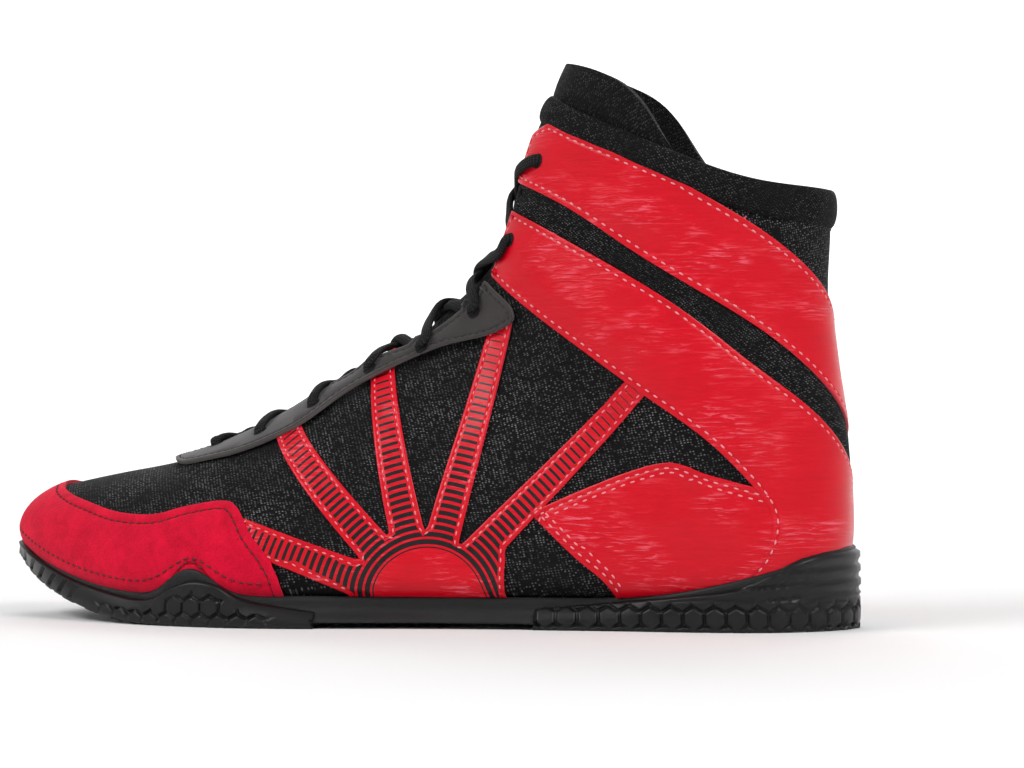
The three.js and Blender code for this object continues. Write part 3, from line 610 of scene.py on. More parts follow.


# Glossy red synthetic leather: smooth lacquer over fine grain, with short brushed creases in patches,
# raised in the bump and given pale pink painted highlights in the colour.
def lacquered(name, deep, bright, printed=False):
    made = add_material(name, bright, 0.32, Coat_Weight=0.12, Coat_Roughness=0.12,
                        Specular_IOR_Level=0.2)
    streak = cloth_places(made, (0.13, 0.95), -0.12)
    fine = cloth_places(made, (0.3, 2.4), -0.12)
    brush = noise(made, streak, 1.0, 3.0, Roughness=0.6, Distortion=0.5)
    hair = noise(made, fine, 1.0, 2.0)
    wide = noise(made, cloth_places(made, (0.04, 0.055)), 1.0, 2.5)
    grain = noise(made, cloth_places(made, (1.6, 1.6)), 1.0, 3.0)
    patch = ramp(made, wide, 0.47, 0.64)
    ridge = maths(made, "MULTIPLY", brush, maths(made, "MULTIPLY_ADD", patch, 0.9, 0.1))
    height_sum = maths(made, "MULTIPLY_ADD", hair, 0.08, ridge)
    relief(made, maths(made, "MULTIPLY_ADD", grain, 0.05, height_sum), 1.0, 0.8)
    shade = maths(made, "MULTIPLY_ADD", wide, 0.6, maths(made, "MULTIPLY", brush, 0.5))
    # Painted highlight: the base colour turns pale pink along the brushed creases inside the patches.
    crease_highlight_mask = ramp(made, brush, 0.53, 0.68)
    painted_crease_highlight = maths(made, "MULTIPLY", maths(made, "MULTIPLY", crease_highlight_mask, patch), 0.7)
    plain = tint(made, shade, deep, bright)
    colour = add_node(made, "ShaderNodeMix", {0: painted_crease_highlight, 6: plain, 7: (0.86, 0.16, 0.22, 1)},
                      data_type="RGBA").outputs[2]
    if printed:
        colour = print_arcs(made, colour)
    join(made, colour, "Base Color")
    gloss = maths(made, "MULTIPLY_ADD", brush, 0.3, 0.2)
    join(made, gloss, "Roughness")
    return made


# Thin black arcs printed round the hub of the side support, thick at the foot and fading outwards.
HUB = (along(-4.1), height(8.5))


def print_arcs(made, colour):
    hub = (HUB[0] * MM, 0, HUB[1] * MM)
    offset = add_node(made, "ShaderNodeVectorMath", {0: object_places(made), 1: hub},
                      operation="SUBTRACT").outputs[0]
    flat = add_node(made, "ShaderNodeVectorMath", {0: offset, 1: (1000, 0, 1000)},
                    operation="MULTIPLY").outputs[0]
    radius = add_node(made, "ShaderNodeVectorMath", {0: flat}, operation="LENGTH").outputs["Value"]
    turn = maths(made, "FRACT", maths(made, "DIVIDE", radius, 2.35))
    away = maths(made, "ABSOLUTE", maths(made, "SUBTRACT", turn, 0.5))
    fade = add_node(made, "ShaderNodeMapRange", {"Value": radius, "From Min": 20.0, "From Max": 92.0,
                                                 "To Min": 0.34, "To Max": 0.06}).outputs[0]
    ink = maths(made, "LESS_THAN", away, fade)
    inside = add_node(made, "ShaderNodeAttribute", attribute_name="inside").outputs["Fac"]
    masked = maths(made, "MULTIPLY", ink, maths(made, "GREATER_THAN", inside, 0.6))
    beyond = maths(made, "MULTIPLY", masked, maths(made, "GREATER_THAN", radius, 18.0))
    mix = add_node(made, "ShaderNodeMix", {0: beyond, 6: colour, 7: (0.012, 0.01, 0.011, 1)},
                   data_type="RGBA")
    return mix.outputs[2]


strap_red = lacquered("strap_red", (0.44, 0.0004, 0.008), (0.80, 0.0007, 0.016))
printed_red = lacquered("printed_red", (0.44, 0.0004, 0.008), (0.80, 0.0007, 0.016), printed=True)
cut_edge = add_material("cut_edge", (0.72, 0.09, 0.12), 0.6)
pink_thread = add_material("pink_thread", (0.84, 0.26, 0.30), 0.6, Sheen_Weight=0.2)
black_thread = add_material("black_thread", (0.012, 0.012, 0.012), 0.6)
red_thread = add_material("red_thread", (0.16, 0.001, 0.008), 0.7)

# Toe cap. Red suede wrapped round the toes with a scalloped rear edge, sewn down with a sunken row of
# dark stitches along that edge and another row just above the sole.
TOE_CAP_EDGE = [(43.3, 46.3), (42.4, 44.7), (40.3, 42.6), (37.2, 40.4), (32.8, 37.6), (27.9, 37.2),
                (23.8, 40.4), (19.7, 42.6), (17.6, 40.4), (15.5, 30.9), (13.4, 23.4), (12.1, 14),
                (12.1, 0)]


def suede(name, deep, bright):
    made = add_material(name, bright, 0.95, Sheen_Weight=0.12, Sheen_Roughness=0.5,
                        Specular_IOR_Level=0.1)
    made.node_tree.nodes["Principled BSDF"].inputs["Sheen Tint"].default_value = (1, 0.55, 0.6, 1)
    place = object_places(made)
    nap = noise(made, place, 1700.0, 4.0, Roughness=0.65)
    cloud = noise(made, place, 130.0, 5.0, Distortion=0.8)
    blend = maths(made, "MULTIPLY_ADD", nap, 0.9, maths(made, "MULTIPLY_ADD", cloud, 1.1, -0.5))
    inside = add_node(made, "ShaderNodeAttribute", attribute_name="inside").outputs["Fac"]
    soft = tint(made, blend, deep, bright)
    seam = maths(made, "GREATER_THAN", inside, 1.5)
    mix = add_node(made, "ShaderNodeMix", {0: seam, 6: soft, 7: (*deep, 1)}, data_type="RGBA")
    join(made, mix.outputs[2], "Base Color")
    relief(made, maths(made, "ADD", nap, cloud), 0.35, 0.8)
    return made


suede_red = suede("suede_red", (0.40, 0.0015, 0.016), (0.86, 0.006, 0.045))
suede_cut = add_material("suede_cut", (0.5, 0.02, 0.04), 0.95)
cap_side = on_last(curve(TOE_CAP_EDGE))
cap_sole = foxing_edge(along(12.3), along(49.3), count=60)
cap_half = np.vstack([[(cap_side[0, 0], 0.0)], cap_side, cap_sole, [(22.6, math.pi)], [(23.99, math.pi)]])
cap_ring = np.vstack([cap_half, cap_half[::-1] * [1, -1]])
SUEDE_EDGE = [(0.5, 0.0, 0.0), (2.4, 0.0, 0.0), (3.1, -0.42, 2.0), (3.8, 0.0, 0.0), (4.5, 0.0, 1.0)]
STRAP_LIFT = 1.5
add_panel("toe_cap_suede", cap_ring, STRAP_LIFT, SUEDE_EDGE, 1.25, [suede_red, suede_cut], "suede",
          ["toe_cap"])
CAP_SEAM = 3.1
CAP_SEAM_LOW = 3.4
CAP_PITCH = 3.0
cap_route = even(cap_ring, 1.5)
if ring_turn(cap_route) < 0:
    cap_route = cap_route[::-1]
cap_thread = bmesh.new()
stitch(cap_thread, moved_in(cap_route, CAP_SEAM), 1.25, closed=True, pitch=CAP_PITCH,
       size=(1.2, 0.45, 0.36), keep=above_sole)
low_x = np.linspace(along(14), along(48.6), 90)
for side in ("outer", "over"):
    low_row = on_last(np.stack([low_x, foxing_top(low_x) + CAP_SEAM_LOW], axis=1), side)
    stitch(cap_thread, low_row, 1.52, pitch=CAP_PITCH, size=(1.2, 0.45, 0.3))
cap_stitches = add_piece("toe_cap_stitches", cap_thread, [red_thread])
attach(cap_stitches, "root")

# Quarter panel. A glossy red patch low on the outer side, tucked under the heel strap and sewn with two
# rows of pale thread along its top.
quarter_front = on_last(curve([(-24.5, 0), (-24.3, 13.8), (-20, 25.5), (-15.2, 39.4)]))
quarter_top = on_last(curve([(-15.2, 39.4), (-21, 47.3), (-26.9, 54.3), (-31, 56.9), (-35.2, 52.7),
                             (-42.1, 46.8)]))
quarter_back = on_last(curve([(-42.1, 46.8), (-43.5, 36), (-43, 24), (-42, 16)]))
quarter_ring = np.vstack([quarter_front, quarter_top, quarter_back, foxing_edge(along(-42), along(-24.6))])
QUARTER_LIFT = 1.25
add_panel("quarter_panel", quarter_ring, QUARTER_LIFT, STITCHED_EDGE, 1.0, [strap_red, cut_edge], "strap",
          ["quarter_panel_outer"])
add_thread("quarter_stitches", [(quarter_ring, 1.8), (quarter_ring, 3.6)], 1.2, pink_thread, "strap")

# Side supports. Tapered red ribs fan out from a hub on the arch to the eyestay, on both sides, with open
# knit between them, a stitched border and printed arcs.
HUB_RADIUS = 23
RIB_ROOT = 6
RIB_END = 3.6
RIB_REACH = 105


def fan_ring(ribs, side):
    points = [(HUB[0] + HUB_RADIUS + 4, HUB[1] - 12), (HUB[0] + HUB_RADIUS + 2, HUB[1])]
    angles = [math.radians(angle) for angle, _ in ribs]

    def at(angle, reach, edge):
        half = RIB_ROOT + (RIB_END - RIB_ROOT) * reach / RIB_REACH
        return (HUB[0] + reach * math.cos(angle) - edge * half * math.sin(angle),
                HUB[1] + reach * math.sin(angle) + edge * half * math.cos(angle))

    for k, (angle, (_, reach)) in enumerate(zip(angles, ribs)):
        if k:
            gap = (angle - angles[k - 1]) / 2
            notch = RIB_ROOT * 0.93 / math.sin(gap)
            middle = (angle + angles[k - 1]) / 2
            for turn, far in ((-0.5, 1.13), (-0.2, 1.06), (0.0, 1.04), (0.2, 1.06), (0.5, 1.13)):
                way = middle + turn * gap * 0.3
                points.append((HUB[0] + notch * far * math.cos(way), HUB[1] + notch * far * math.sin(way)))
        else:
            points.append(at(angle, 26, -1))
        near = 1.35 * RIB_ROOT / math.sin((angle - angles[k - 1]) / 2) if k else 36
        points += [at(angle, max(near, 34), -1), at(angle, reach, -1), at(angle, reach, 1)]
        after = 1.35 * RIB_ROOT / math.sin((angles[k + 1] - angle) / 2) if k + 1 < len(ribs) else 30
        points.append(at(angle, max(after, 30), 1))
    points += [(HUB[0] - HUB_RADIUS - 1, HUB[1] + 2), (HUB[0] - HUB_RADIUS - 3, HUB[1] - 12)]
    line = []
    for a, b in zip(points, points[1:]):
        count = max(1, int(math.dist(a, b) / 2))
        line += [(a[0] + (b[0] - a[0]) * t / count, a[1] + (b[1] - a[1]) * t / count) for t in range(count)]
    line = np.array([*line, points[-1]])
    ring = on_last(line, side)
    low = foxing_edge(HUB[0] - HUB_RADIUS - 2, HUB[0] + HUB_RADIUS + 3, side)
    return np.vstack([ring, low])


outer_fan = fan_ring([(20, 66), (46, 82), (73, 84), (102, 94), (134, 104)], "outer")
inner_fan = fan_ring([(24, 66), (50, 82), (77, 82)], "over")
FAN_LIFT = 1.05
FAN_EDGE = [(0.4, 0.0, 0.0), (1.0, 0.0, 0.0), (1.4, -0.2, 0.0), (1.8, 0.0, 0.0), (2.2, 0.0, 1.0)]
add_panel("side_support_outer_panel", outer_fan, FAN_LIFT, FAN_EDGE, 0.85, [printed_red, cut_edge], "strap",
          ["side_support_outer"], spacing=1.8)
add_panel("side_support_inner_panel", inner_fan, FAN_LIFT, FAN_EDGE, 0.85, [printed_red, cut_edge], "strap",
          ["side_support_inner"], spacing=1.8)
add_thread("side_support_stitches", [(outer_fan, 1.4), (inner_fan, 1.4)], 1.0, pink_thread, "strap",
           pitch=2.9, size=(0.8, 0.28, 0.24))

# Ankle strip. A flat woven elastic that spirals round the heel between the two straps, plain along both
# borders and ribbed between them.
STRAP_TOP = [(-31, 195), (-31.4, 174.3), (-32.1, 164.9), (-35.9, 155.4), (-40.7, 143.2), (-44.5, 129.7),
             (-46.4, 117.6), (-53, 112)]
STRAP_LOW = [(-6, 176), (-12.8, 166.2), (-19.3, 154.1), (-27.2, 133.8), (-36.2, 112.2), (-40.3, 101.4),
             (-44.1, 91.5), (-46.9, 80.9), (-48.2, 72.8), (-53, 67)]
WRAP_TOP = [(-4, 166), (-12.8, 152.7), (-22.1, 133.8), (-29.7, 116.2), (-34.5, 102.7), (-37.9, 93.6),
            (-41.7, 84), (-45.9, 73.4), (-48.5, 63.3), (-53, 56)]
WRAP_LOW = [(-5, 139), (-9, 127), (-10.7, 121.6), (-15.5, 108.1), (-21, 94.7), (-26.9, 81.9),
            (-33.8, 67), (-37.9, 55.3), (-41, 43.6), (-41.7, 35.1), (-40.7, 25.5), (-38.6, 19.1),
            (-35.2, 12.8), (-32.8, 0)]
BAND_TOP = [(-53, 119), (-46.4, 117.6), (-45.2, 104), (-41.4, 86.2), (-36.9, 73.4), (-27.6, 48.9),
            (-17.2, 27.7), (-7.6, 10.6), (-4, 0)]
BAND_LOW = [(-53, 76), (-48.2, 72.8), (-44.5, 56.5), (-40, 39.5), (-36.2, 26), (-32.8, 12.8), (-30.3, 0)]
HEEL_TOP = [(-53, 68), (-48.5, 63.3), (-47.9, 51.1), (-45.2, 35.1), (-40.3, 18.1), (-37.9, 10.6),
            (-36.2, 0)]


def round_heel(outer, inner, trim=True):
    first = on_last(curve(outer))
    if trim:
        first = past_throat(first)
    second = on_last(curve(inner), "inner")
    row = (first[-1, 0] + second[0, 0]) / 2
    line = np.vstack([first, [(row, math.pi)], second])
    near = np.exp(-(((line[1:-1, 1] - math.pi) / 0.7) ** 2))[:, None]
    for _ in range(80):
        line[1:-1] += near * ((line[:-2] + line[2:]) / 2 - line[1:-1]) / 2
    return line


strap_top = round_heel(STRAP_TOP, BAND_TOP, trim=False)
strap_low = round_heel(STRAP_LOW, BAND_LOW)
wrap_top = round_heel(WRAP_TOP, HEEL_TOP)
wrap_low = past_throat(on_last(curve(WRAP_LOW)))
webbing = knit("webbing", (1.1, 1.6), 0.6, 0.7, (0.16, 0.16, 0.165), 0.5)
strip_ring = np.vstack([strap_low, foxing_edge(along(-31), along(-36), "inner"), wrap_top[::-1],
                        throat_edge(wrap_top[0, 0], strap_low[0, 0])])
plain_web = add_material("plain_web", (0.012, 0.012, 0.013), 0.7)
STRIP_LIFT = 0.75
STRIP_EDGE = [(0.6, 0.0, 0.0), (3.2, 0.0, 0.0), (3.6, 0.25, 1.0)]
add_panel("ankle_strip_web", strip_ring, STRIP_LIFT, STRIP_EDGE, 0.6, [webbing, plain_web], "webbing",
          ["ankle_strip"])

# Heel wrap. The lower glossy strap, from the lowest ankle eyelets round the heel and down to the sole.
wrap_sole = np.vstack([foxing_edge(along(-36.4), along(-47), "inner"),
                       foxing_edge(along(-47), along(-33.6), "outer")])
wrap_ring = np.vstack([wrap_top, wrap_sole, wrap_low[::-1], throat_edge(wrap_low[0, 0], wrap_top[0, 0])])
add_panel("heel_wrap_strap", wrap_ring, STRAP_LIFT, STITCHED_EDGE, 1.2, [strap_red, cut_edge], "strap",
          ["heel_wrap"])

# Ankle strap. The upper glossy strap, from the top eyelet over the collar's side, round the heel and
# down the inner side to the arch.
collar_front = float(collar_row(np.array([0.4]))[0])
strap_start = collar_edge(throat_angle(UPPER_TOP) + 0.26, strap_top[0, 1] - 0.02)
band_sole = foxing_edge(along(-7), along(-30.8), "inner")
strap_ring = np.vstack([strap_start, strap_top, band_sole, strap_low[::-1],
                        throat_edge(strap_low[0, 0], collar_front + 0.45)])
add_panel("ankle_strap_panel", strap_ring, STRAP_LIFT, STITCHED_EDGE, 1.2, [strap_red, cut_edge], "strap",
          ["ankle_strap"])
add_thread("strap_stitches", [(strap_ring, 1.8), (wrap_ring, 1.8)], 1.42, pink_thread, "strap")

# Collar patch. A glossy red patch on the inner side of the collar, above the strap.
patch_low = past_throat(on_last(curve([(-50, 156), (-45.2, 150), (-41.7, 132.4), (-37.6, 121.6),
                                       (-33.4, 113.5), (-24.1, 101.4), (-15.5, 96), (-5, 90)]), "inner"))
patch_ring = np.vstack([collar_edge(math.tau - throat_angle(UPPER_TOP) - 0.14, math.pi + 0.3), patch_low,
                        throat_edge(patch_low[-1, 0], collar_front + 0.25, "inner")])
PATCH_LIFT = 1.3
add_panel("collar_patch", patch_ring, PATCH_LIFT, STITCHED_EDGE, 1.0, [strap_red, cut_edge], "strap",
          ["collar_patch_inner"])
add_thread("collar_patch_stitches", [(patch_ring, 1.8)], 1.25, pink_thread, "strap")

# Eyestay. Dark nubuck round the throat with a scalloped inner edge, cut raw and sewn with black thread.
EYESTAY_LOW = [(29.2, 55), (26.9, 53.5), (23.1, 55.5), (19.7, 58), (16.2, 61.8), (12.1, 68), (6.2, 80.9),
               (-2.4, 93.6), (-9, 98.9), (-11.4, 102.7), (-12.8, 107.4), (-12.4, 112.2), (-8.3, 125.7)]
EYELETS = [(23.7, 59), (17.5, 64), (11.2, 73.5), (4.8, 86), (-0.7, 96.5), (-7.3, 110), (-11.9, 141),
           (-15.4, 175)]
hole_rows, hole_angles, _ = from_side(*np.array([(along(x), height(z)) for x, z in EYELETS]).T)
HOLES = [(row, max(angle, throat_angle(row) + 0.12)) for row, angle in zip(hole_rows, hole_angles)]


# The padded tongue lifts the inner edge of the eyestay off the last.
def stay_rise(rows, angles):
    near = np.clip(1 - np.abs(angles) / 0.85, 0, 1)
    return 3.2 * near * np.clip((18.5 - rows) / 4, 0, 1)


def nubuck(name):
    made = add_material(name, (0.03, 0.026, 0.026), 0.9, Sheen_Weight=0.25, Specular_IOR_Level=0.2)
    place = object_places(made)
    blend = maths(made, "MULTIPLY_ADD", noise(made, place, 1500.0, 3.0), 0.5, noise(made, place, 90.0, 4.0))
    join(made, tint(made, blend, (0.018, 0.0155, 0.0155), (0.046, 0.040, 0.040)), "Base Color")
    relief(made, blend, 0.2, 0.7)
    return made


nubuck_dark = nubuck("nubuck_dark")
raw_edge = add_material("raw_edge", (0.14, 0.125, 0.12), 0.95)
stay_side = past_throat(on_last(curve(EYESTAY_LOW)))
stay_end = stay_side[-1, 0]
stay_rows = np.linspace(stay_end, THROAT_TOE_ROW - 0.02, 90)
wave = np.zeros(len(stay_rows))
for eyelet_row, _ in HOLES[:6]:
    wave += 0.06 * np.exp(-(((stay_rows - eyelet_row) / 0.28) ** 2))
stay_angles = np.array([throat_angle(row) for row in stay_rows])
stay_inner = np.stack([stay_rows, stay_angles + 0.05 - wave], axis=1)
stay_inner[:, 1] = np.maximum(stay_inner[:, 1], 0.001)
stay_half = np.vstack([[(stay_side[0, 0], 0.0)], stay_side, stay_inner])
stay_ring = np.vstack([stay_half, stay_half[::-1] * [1, -1]])
STAY_EDGE = [(0.45, 0.0, 0.0), (1.2, 0.0, 0.0), (1.6, -0.2, 0.0), (2.0, 0.0, 0.0)]
STAY_LIFT = 1.8
add_panel("eyestay_nubuck", stay_ring, STAY_LIFT, STAY_EDGE, 1.5, [nubuck_dark, raw_edge], "nubuck",
          ["eyestay"], rows_step=0.15, angle_step=0.08, raised=stay_rise)
add_thread("eyestay_stitches", [(stay_half, 1.6), (stay_half * [1, -1], 1.6)], 1.68, black_thread, "nubuck",
           pitch=2.6, size=(0.9, 0.34, 0.32), raised=stay_rise)

# Tongue. A padded knit tongue under the laces, rising well above the collar, with soft folds in it.
TONGUE_BACK = [(21.4, 52.1), (13.8, 56.4), (6.9, 64.9), (0, 74.5), (-6.9, 85.1), (-15.5, 105.4),
               (-22.4, 128.4), (-29.3, 155.4), (-34.1, 177)]
TONGUE_TOP = [(-34.1, 177), (-32.4, 187.8), (-30.7, 194.6), (-25.5, 206.8), (-19.7, 217.6),
              (-18.6, 218.9)]
padded_knit = knit("padded_knit", (1.0, 1.4), 0.75, 0.6, (0.10, 0.10, 0.103), 0.5)
back_rows, back_angles, _ = from_side(*curve(TONGUE_BACK + TONGUE_TOP[1:]).T)
order = np.argsort(back_rows)
TONGUE_COLUMNS = 120
TONGUE_LINES = 56
TONGUE_THICK = 4.2
TONGUE_TOE_ROW = 17.4
ANKLE_REACH = 1.72


def tongue_place(down, across):
    sideways = across * 2 - 1
    first = 0.1 + 1.6 * np.abs(sideways) ** 5
    rows = first + down * (TONGUE_TOE_ROW - first)
    low_reach = np.minimum(np.interp(rows, back_rows[order], back_angles[order]), 1.5)
    reach = low_reach + (ANKLE_REACH - low_reach) * np.clip((4.0 - rows) / 2.5, 0, 1)
    edge = 1 - np.abs(sideways)
    swell = 0.9 * np.sin(np.pi * np.clip(edge * 2.5, 0, 0.5))
    fold = 0.7 * np.sin(rows * 2.3 + 2.0 * across) * np.exp(-((rows - 2.2) / 2.0) ** 2)
    lifted = 1.9 * np.clip((rows - 3) / 2, 0, 1) * np.clip(edge * 3, 0, 1)
    top = 0.9 * np.exp(-(((rows - first - 0.5) / 0.5) ** 2))
    return np.stack([rows, sideways * reach, -3.2 + swell + fold + lifted + top], axis=1)


tongue_shape = grid_shape(TONGUE_COLUMNS, TONGUE_LINES, tongue_place)
wrap(tongue_shape)
grid_cloth(tongue_shape, TONGUE_COLUMNS, TONGUE_LINES)
tongue = add_piece("padded_tongue", tongue_shape, [padded_knit])
thicken(tongue, TONGUE_THICK, 1.9, segments=4, rim=0)
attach(tongue, "root")
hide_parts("tongue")

# Collar roll. A foam roll covered in the same knit along the top edge, from one side of the throat
# round the back to the other.
ROLL_FROM = 0.3
ROLL_HEIGHT_ROWS = 0.33
ROLL_DEPTH = 2.0
ROLL_COLUMNS = 150
ROLL_LINES = 24


def roll_place(down, across):
    angle = ROLL_FROM + down * (math.tau - 2 * ROLL_FROM)
    turn = across * math.tau
    close = np.minimum(down, 1 - down) * 40
    full = np.sqrt(np.clip(close * (2 - np.clip(close, 0, 1)), 0, 1))
    pull = 1 + 0.05 * np.sin(angle * 9) + 0.03 * np.sin(angle * 23 + 1)
    rows = collar_row(angle) - 0.24 - ROLL_HEIGHT_ROWS * np.cos(turn) * full
    lift = 0.1 - ROLL_DEPTH + ROLL_DEPTH * (1 + np.sin(turn) * full * pull)
    return skin(rows, angle, lift) * MM


roll_shape = grid_shape(ROLL_COLUMNS, ROLL_LINES, roll_place)
grid_cloth(roll_shape, ROLL_COLUMNS, ROLL_LINES)
bmesh.ops.remove_doubles(roll_shape, verts=roll_shape.verts[:], dist=0.02 * MM)
bmesh.ops.recalc_face_normals(roll_shape, faces=roll_shape.faces[:])
roll = add_piece("padded_collar", roll_shape, [padded_knit])
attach(roll, "root")
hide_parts("collar_roll")

# Insole. A flat sock of lining cloth glued inside, on the bottom of the upper.
INSOLE_COLUMNS = 60
INSOLE_LINES = 16


def insole_place(down, across):
    rows = 8.3 + down * 14.6
    angles = math.pi + (across * 2 - 1) * 0.78
    return np.stack([rows, angles, np.full(len(rows), -5.2)], axis=1)


insole_shape = grid_shape(INSOLE_COLUMNS, INSOLE_LINES, insole_place)
wrap(insole_shape)
grid_cloth(insole_shape, INSOLE_COLUMNS, INSOLE_LINES)
bmesh.ops.reverse_faces(insole_shape, faces=insole_shape.faces[:])
insole = add_piece("insole_sock", insole_shape, [lining_cloth])
thicken(insole, 2.6, 0.8, rim=0)
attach(insole, "root")
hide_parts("insole")

# Laces. One flat-round black braid, crossed through eight pairs of punched holes over the tongue, with
# a straight bar at the toe end; its ends tuck away behind the top eyelets.


def braid(name):
    made = add_material(name, (0.008, 0.008, 0.008), 0.75, Specular_IOR_Level=0.15)
    places = add_node(made, "ShaderNodeSeparateXYZ", {0: cloth_places(made, (1.0, 1.0))})
    ahead, round_ = places.outputs[0], places.outputs[1]
    one = maths(made, "SINE", maths(made, "MULTIPLY", maths(made, "ADD", ahead, round_), 4.2))
    two = maths(made, "SINE", maths(made, "MULTIPLY", maths(made, "SUBTRACT", ahead, round_), 4.2))
    cross = maths(made, "MULTIPLY", one, two)
    high = maths(made, "MULTIPLY_ADD", cross, 0.5, 0.5)
    # Painted shade and highlight: the crests of the braid are painted lighter and the hollows between the
    # strands darker, following the bump.
    join(made, tint(made, high, (0.003, 0.003, 0.003), (0.028, 0.028, 0.029)), "Base Color")
    relief(made, high, 0.5, 1.0)
    return made


lace_braid = braid("lace_braid")
# Near-black painted shadow for the insides of the punched holes.
painted_hole_shadow = add_material("painted_hole_shadow", (0.004, 0.004, 0.004), 1.0)


LACE_WIDTH = 4.2
LACE_THICK = 2.3
HOLE_SINK = 3.2
CROSSING_LIFT = 2.2
LAST_CROSSING = len(HOLES) - 2
FIRST_STAY_ROW = 6.8


def smooth_line(points, count):
    points = np.array(points, float)
    ends = np.vstack([2 * points[0] - points[1], points, 2 * points[-1] - points[-2]])
    where = np.linspace(0, len(points) - 1.0001, count)
    first = where.astype(int)
    t = (where - first)[:, None]
    a, b, c, d = (ends[first + k] for k in range(4))
    return 0.5 * (2 * b + (c - a) * t + (2 * a - 5 * b + 4 * c - d) * t**2
                  + (3 * b - a - 3 * c + d) * t**3)


def lace_run(shape, stops, count=40, around=12):
    route = smooth_line(stops, count)
    at = skin(route[:, 0], route[:, 1], route[:, 2])
    up = skin(route[:, 0], route[:, 1], route[:, 2] + 1.0) - at
    way = np.gradient(at, axis=0)
    way /= np.linalg.norm(way, axis=1)[:, None]
    side = np.cross(up, way)
    side /= np.linalg.norm(side, axis=1)[:, None]
    up = np.cross(way, side)
    gone = np.concatenate([[0], np.cumsum(np.linalg.norm(np.diff(at, axis=0), axis=1))])
    made = bmesh.new()
    bmesh.ops.create_grid(made, x_segments=count - 1, y_segments=around, size=0.5)
    cloth = made.verts.layers.float_vector.new("cloth")
    for vert in made.verts:
        k = round((vert.co.x + 0.5) * (count - 1))
        turn = (vert.co.y + 0.5) * math.tau
        end = math.sqrt(min(1, 0.15 + min(k, count - 1 - k) / 2.5))
        place = (at[k] + side[k] * math.cos(turn) * LACE_WIDTH / 2 * end
                 + up[k] * math.sin(turn) * LACE_THICK / 2 * end)
        vert[cloth] = Vector((gone[k], (vert.co.y + 0.5) * 9 * 1.1, 0))
        vert.co = place * MM
    bmesh.ops.remove_doubles(made, verts=made.verts[:], dist=0.02 * MM)
    bmesh.ops.holes_fill(made, edges=made.edges[:])
    bmesh.ops.recalc_face_normals(made, faces=made.faces[:])
    mesh = bpy.data.meshes.new("run")
    made.to_mesh(mesh)
    made.free()
    shape.from_mesh(mesh)
    bpy.data.meshes.remove(mesh)


# How high the strap or the eyestay stands over the last, and the tongue below the laces.
def cover(row, angle):
    if row < FIRST_STAY_ROW:
        return STRAP_LIFT + 0.05
    return STAY_LIFT + float(stay_rise(np.array([row]), np.array([angle]))[0])


def tongue_lift(row):
    return -2.3 + 1.9 * min(1, max(0, (row - 3) / 2))


# One end of a crossing: out of the hole and over the edge, or from below the edge into the hole.
def lace_end(row, angle, toward, out):
    edge = throat_angle(row) + 0.04
    bed = tongue_lift(row)
    top = cover(row, angle)
    if out:
        return [(row, angle + 0.01, top - HOLE_SINK), (row, angle - 0.01, top + 0.8),
                (row + toward * 0.13, edge + 0.05, cover(row, edge) + 1.2),
                (row + toward * 0.27, edge * 0.5, bed + 2.9)]
    return [(row, angle, top - HOLE_SINK), (row + toward * 0.15, edge, bed + 1.0),
            (row + toward * 0.3, edge * 0.5, bed + 1.2)]


lace_shape = bmesh.new()
bar_row, bar_angle = HOLES[0]
bar_half = lace_end(bar_row, bar_angle, 0.3, True)
lace_run(lace_shape, [(row, -angle, lift) for row, angle, lift in bar_half]
         + [(bar_row + 0.08, 0, tongue_lift(bar_row) + 2.6)] + bar_half[::-1])
for pair in range(len(HOLES) - 1):
    (row, angle), (next_row, next_angle) = HOLES[pair], HOLES[pair + 1]
    for side in (-1, 1):
        over = CROSSING_LIFT if side * (-1) ** pair > 0 else 0
        first = lace_end(row, angle, next_row - row, pair < LAST_CROSSING)
        last = lace_end(next_row, next_angle, row - next_row, pair >= LAST_CROSSING - 1)
        half_row = (row + next_row) / 2
        lace_run(lace_shape, [(r, side * a, lift) for r, a, lift in first]
                 + [(half_row, 0, tongue_lift(half_row) + 1.2 + over)]
                 + [(r, -side * a, lift) for r, a, lift in last[::-1]])
laces = add_piece("braided_laces", lace_shape, [lace_braid])
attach(laces, "root")
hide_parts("laces")

# Eyelets. Punched holes where the lace comes through the nubuck and the straps, each a flat near-black disc
# on the surface, painted shadow standing for the dark inside of the hole.
HOLE_RADIUS = 2.5
HOLE_DEPTH = 0.12
hole_shape = bmesh.new()
for row, angle in HOLES:
    for side in (-1, 1):
        lift = cover(row, angle) + 0.02
        p = Vector(skin([row], [side * angle], np.array([lift]))[0])
        n = Vector(skin([row], [side * angle], np.array([lift + 1]))[0]) - p
        turn = n.to_track_quat("Z", "Y").to_matrix().to_4x4()
        bmesh.ops.create_cone(hole_shape, cap_ends=True, segments=20, radius1=HOLE_RADIUS * MM,
                              radius2=(HOLE_RADIUS - 0.2) * MM, depth=HOLE_DEPTH * MM,
                              matrix=Matrix.Translation(p * MM) @ turn)
holes = add_piece("eyelet_holes", hole_shape, [painted_hole_shadow])
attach(holes, "root")

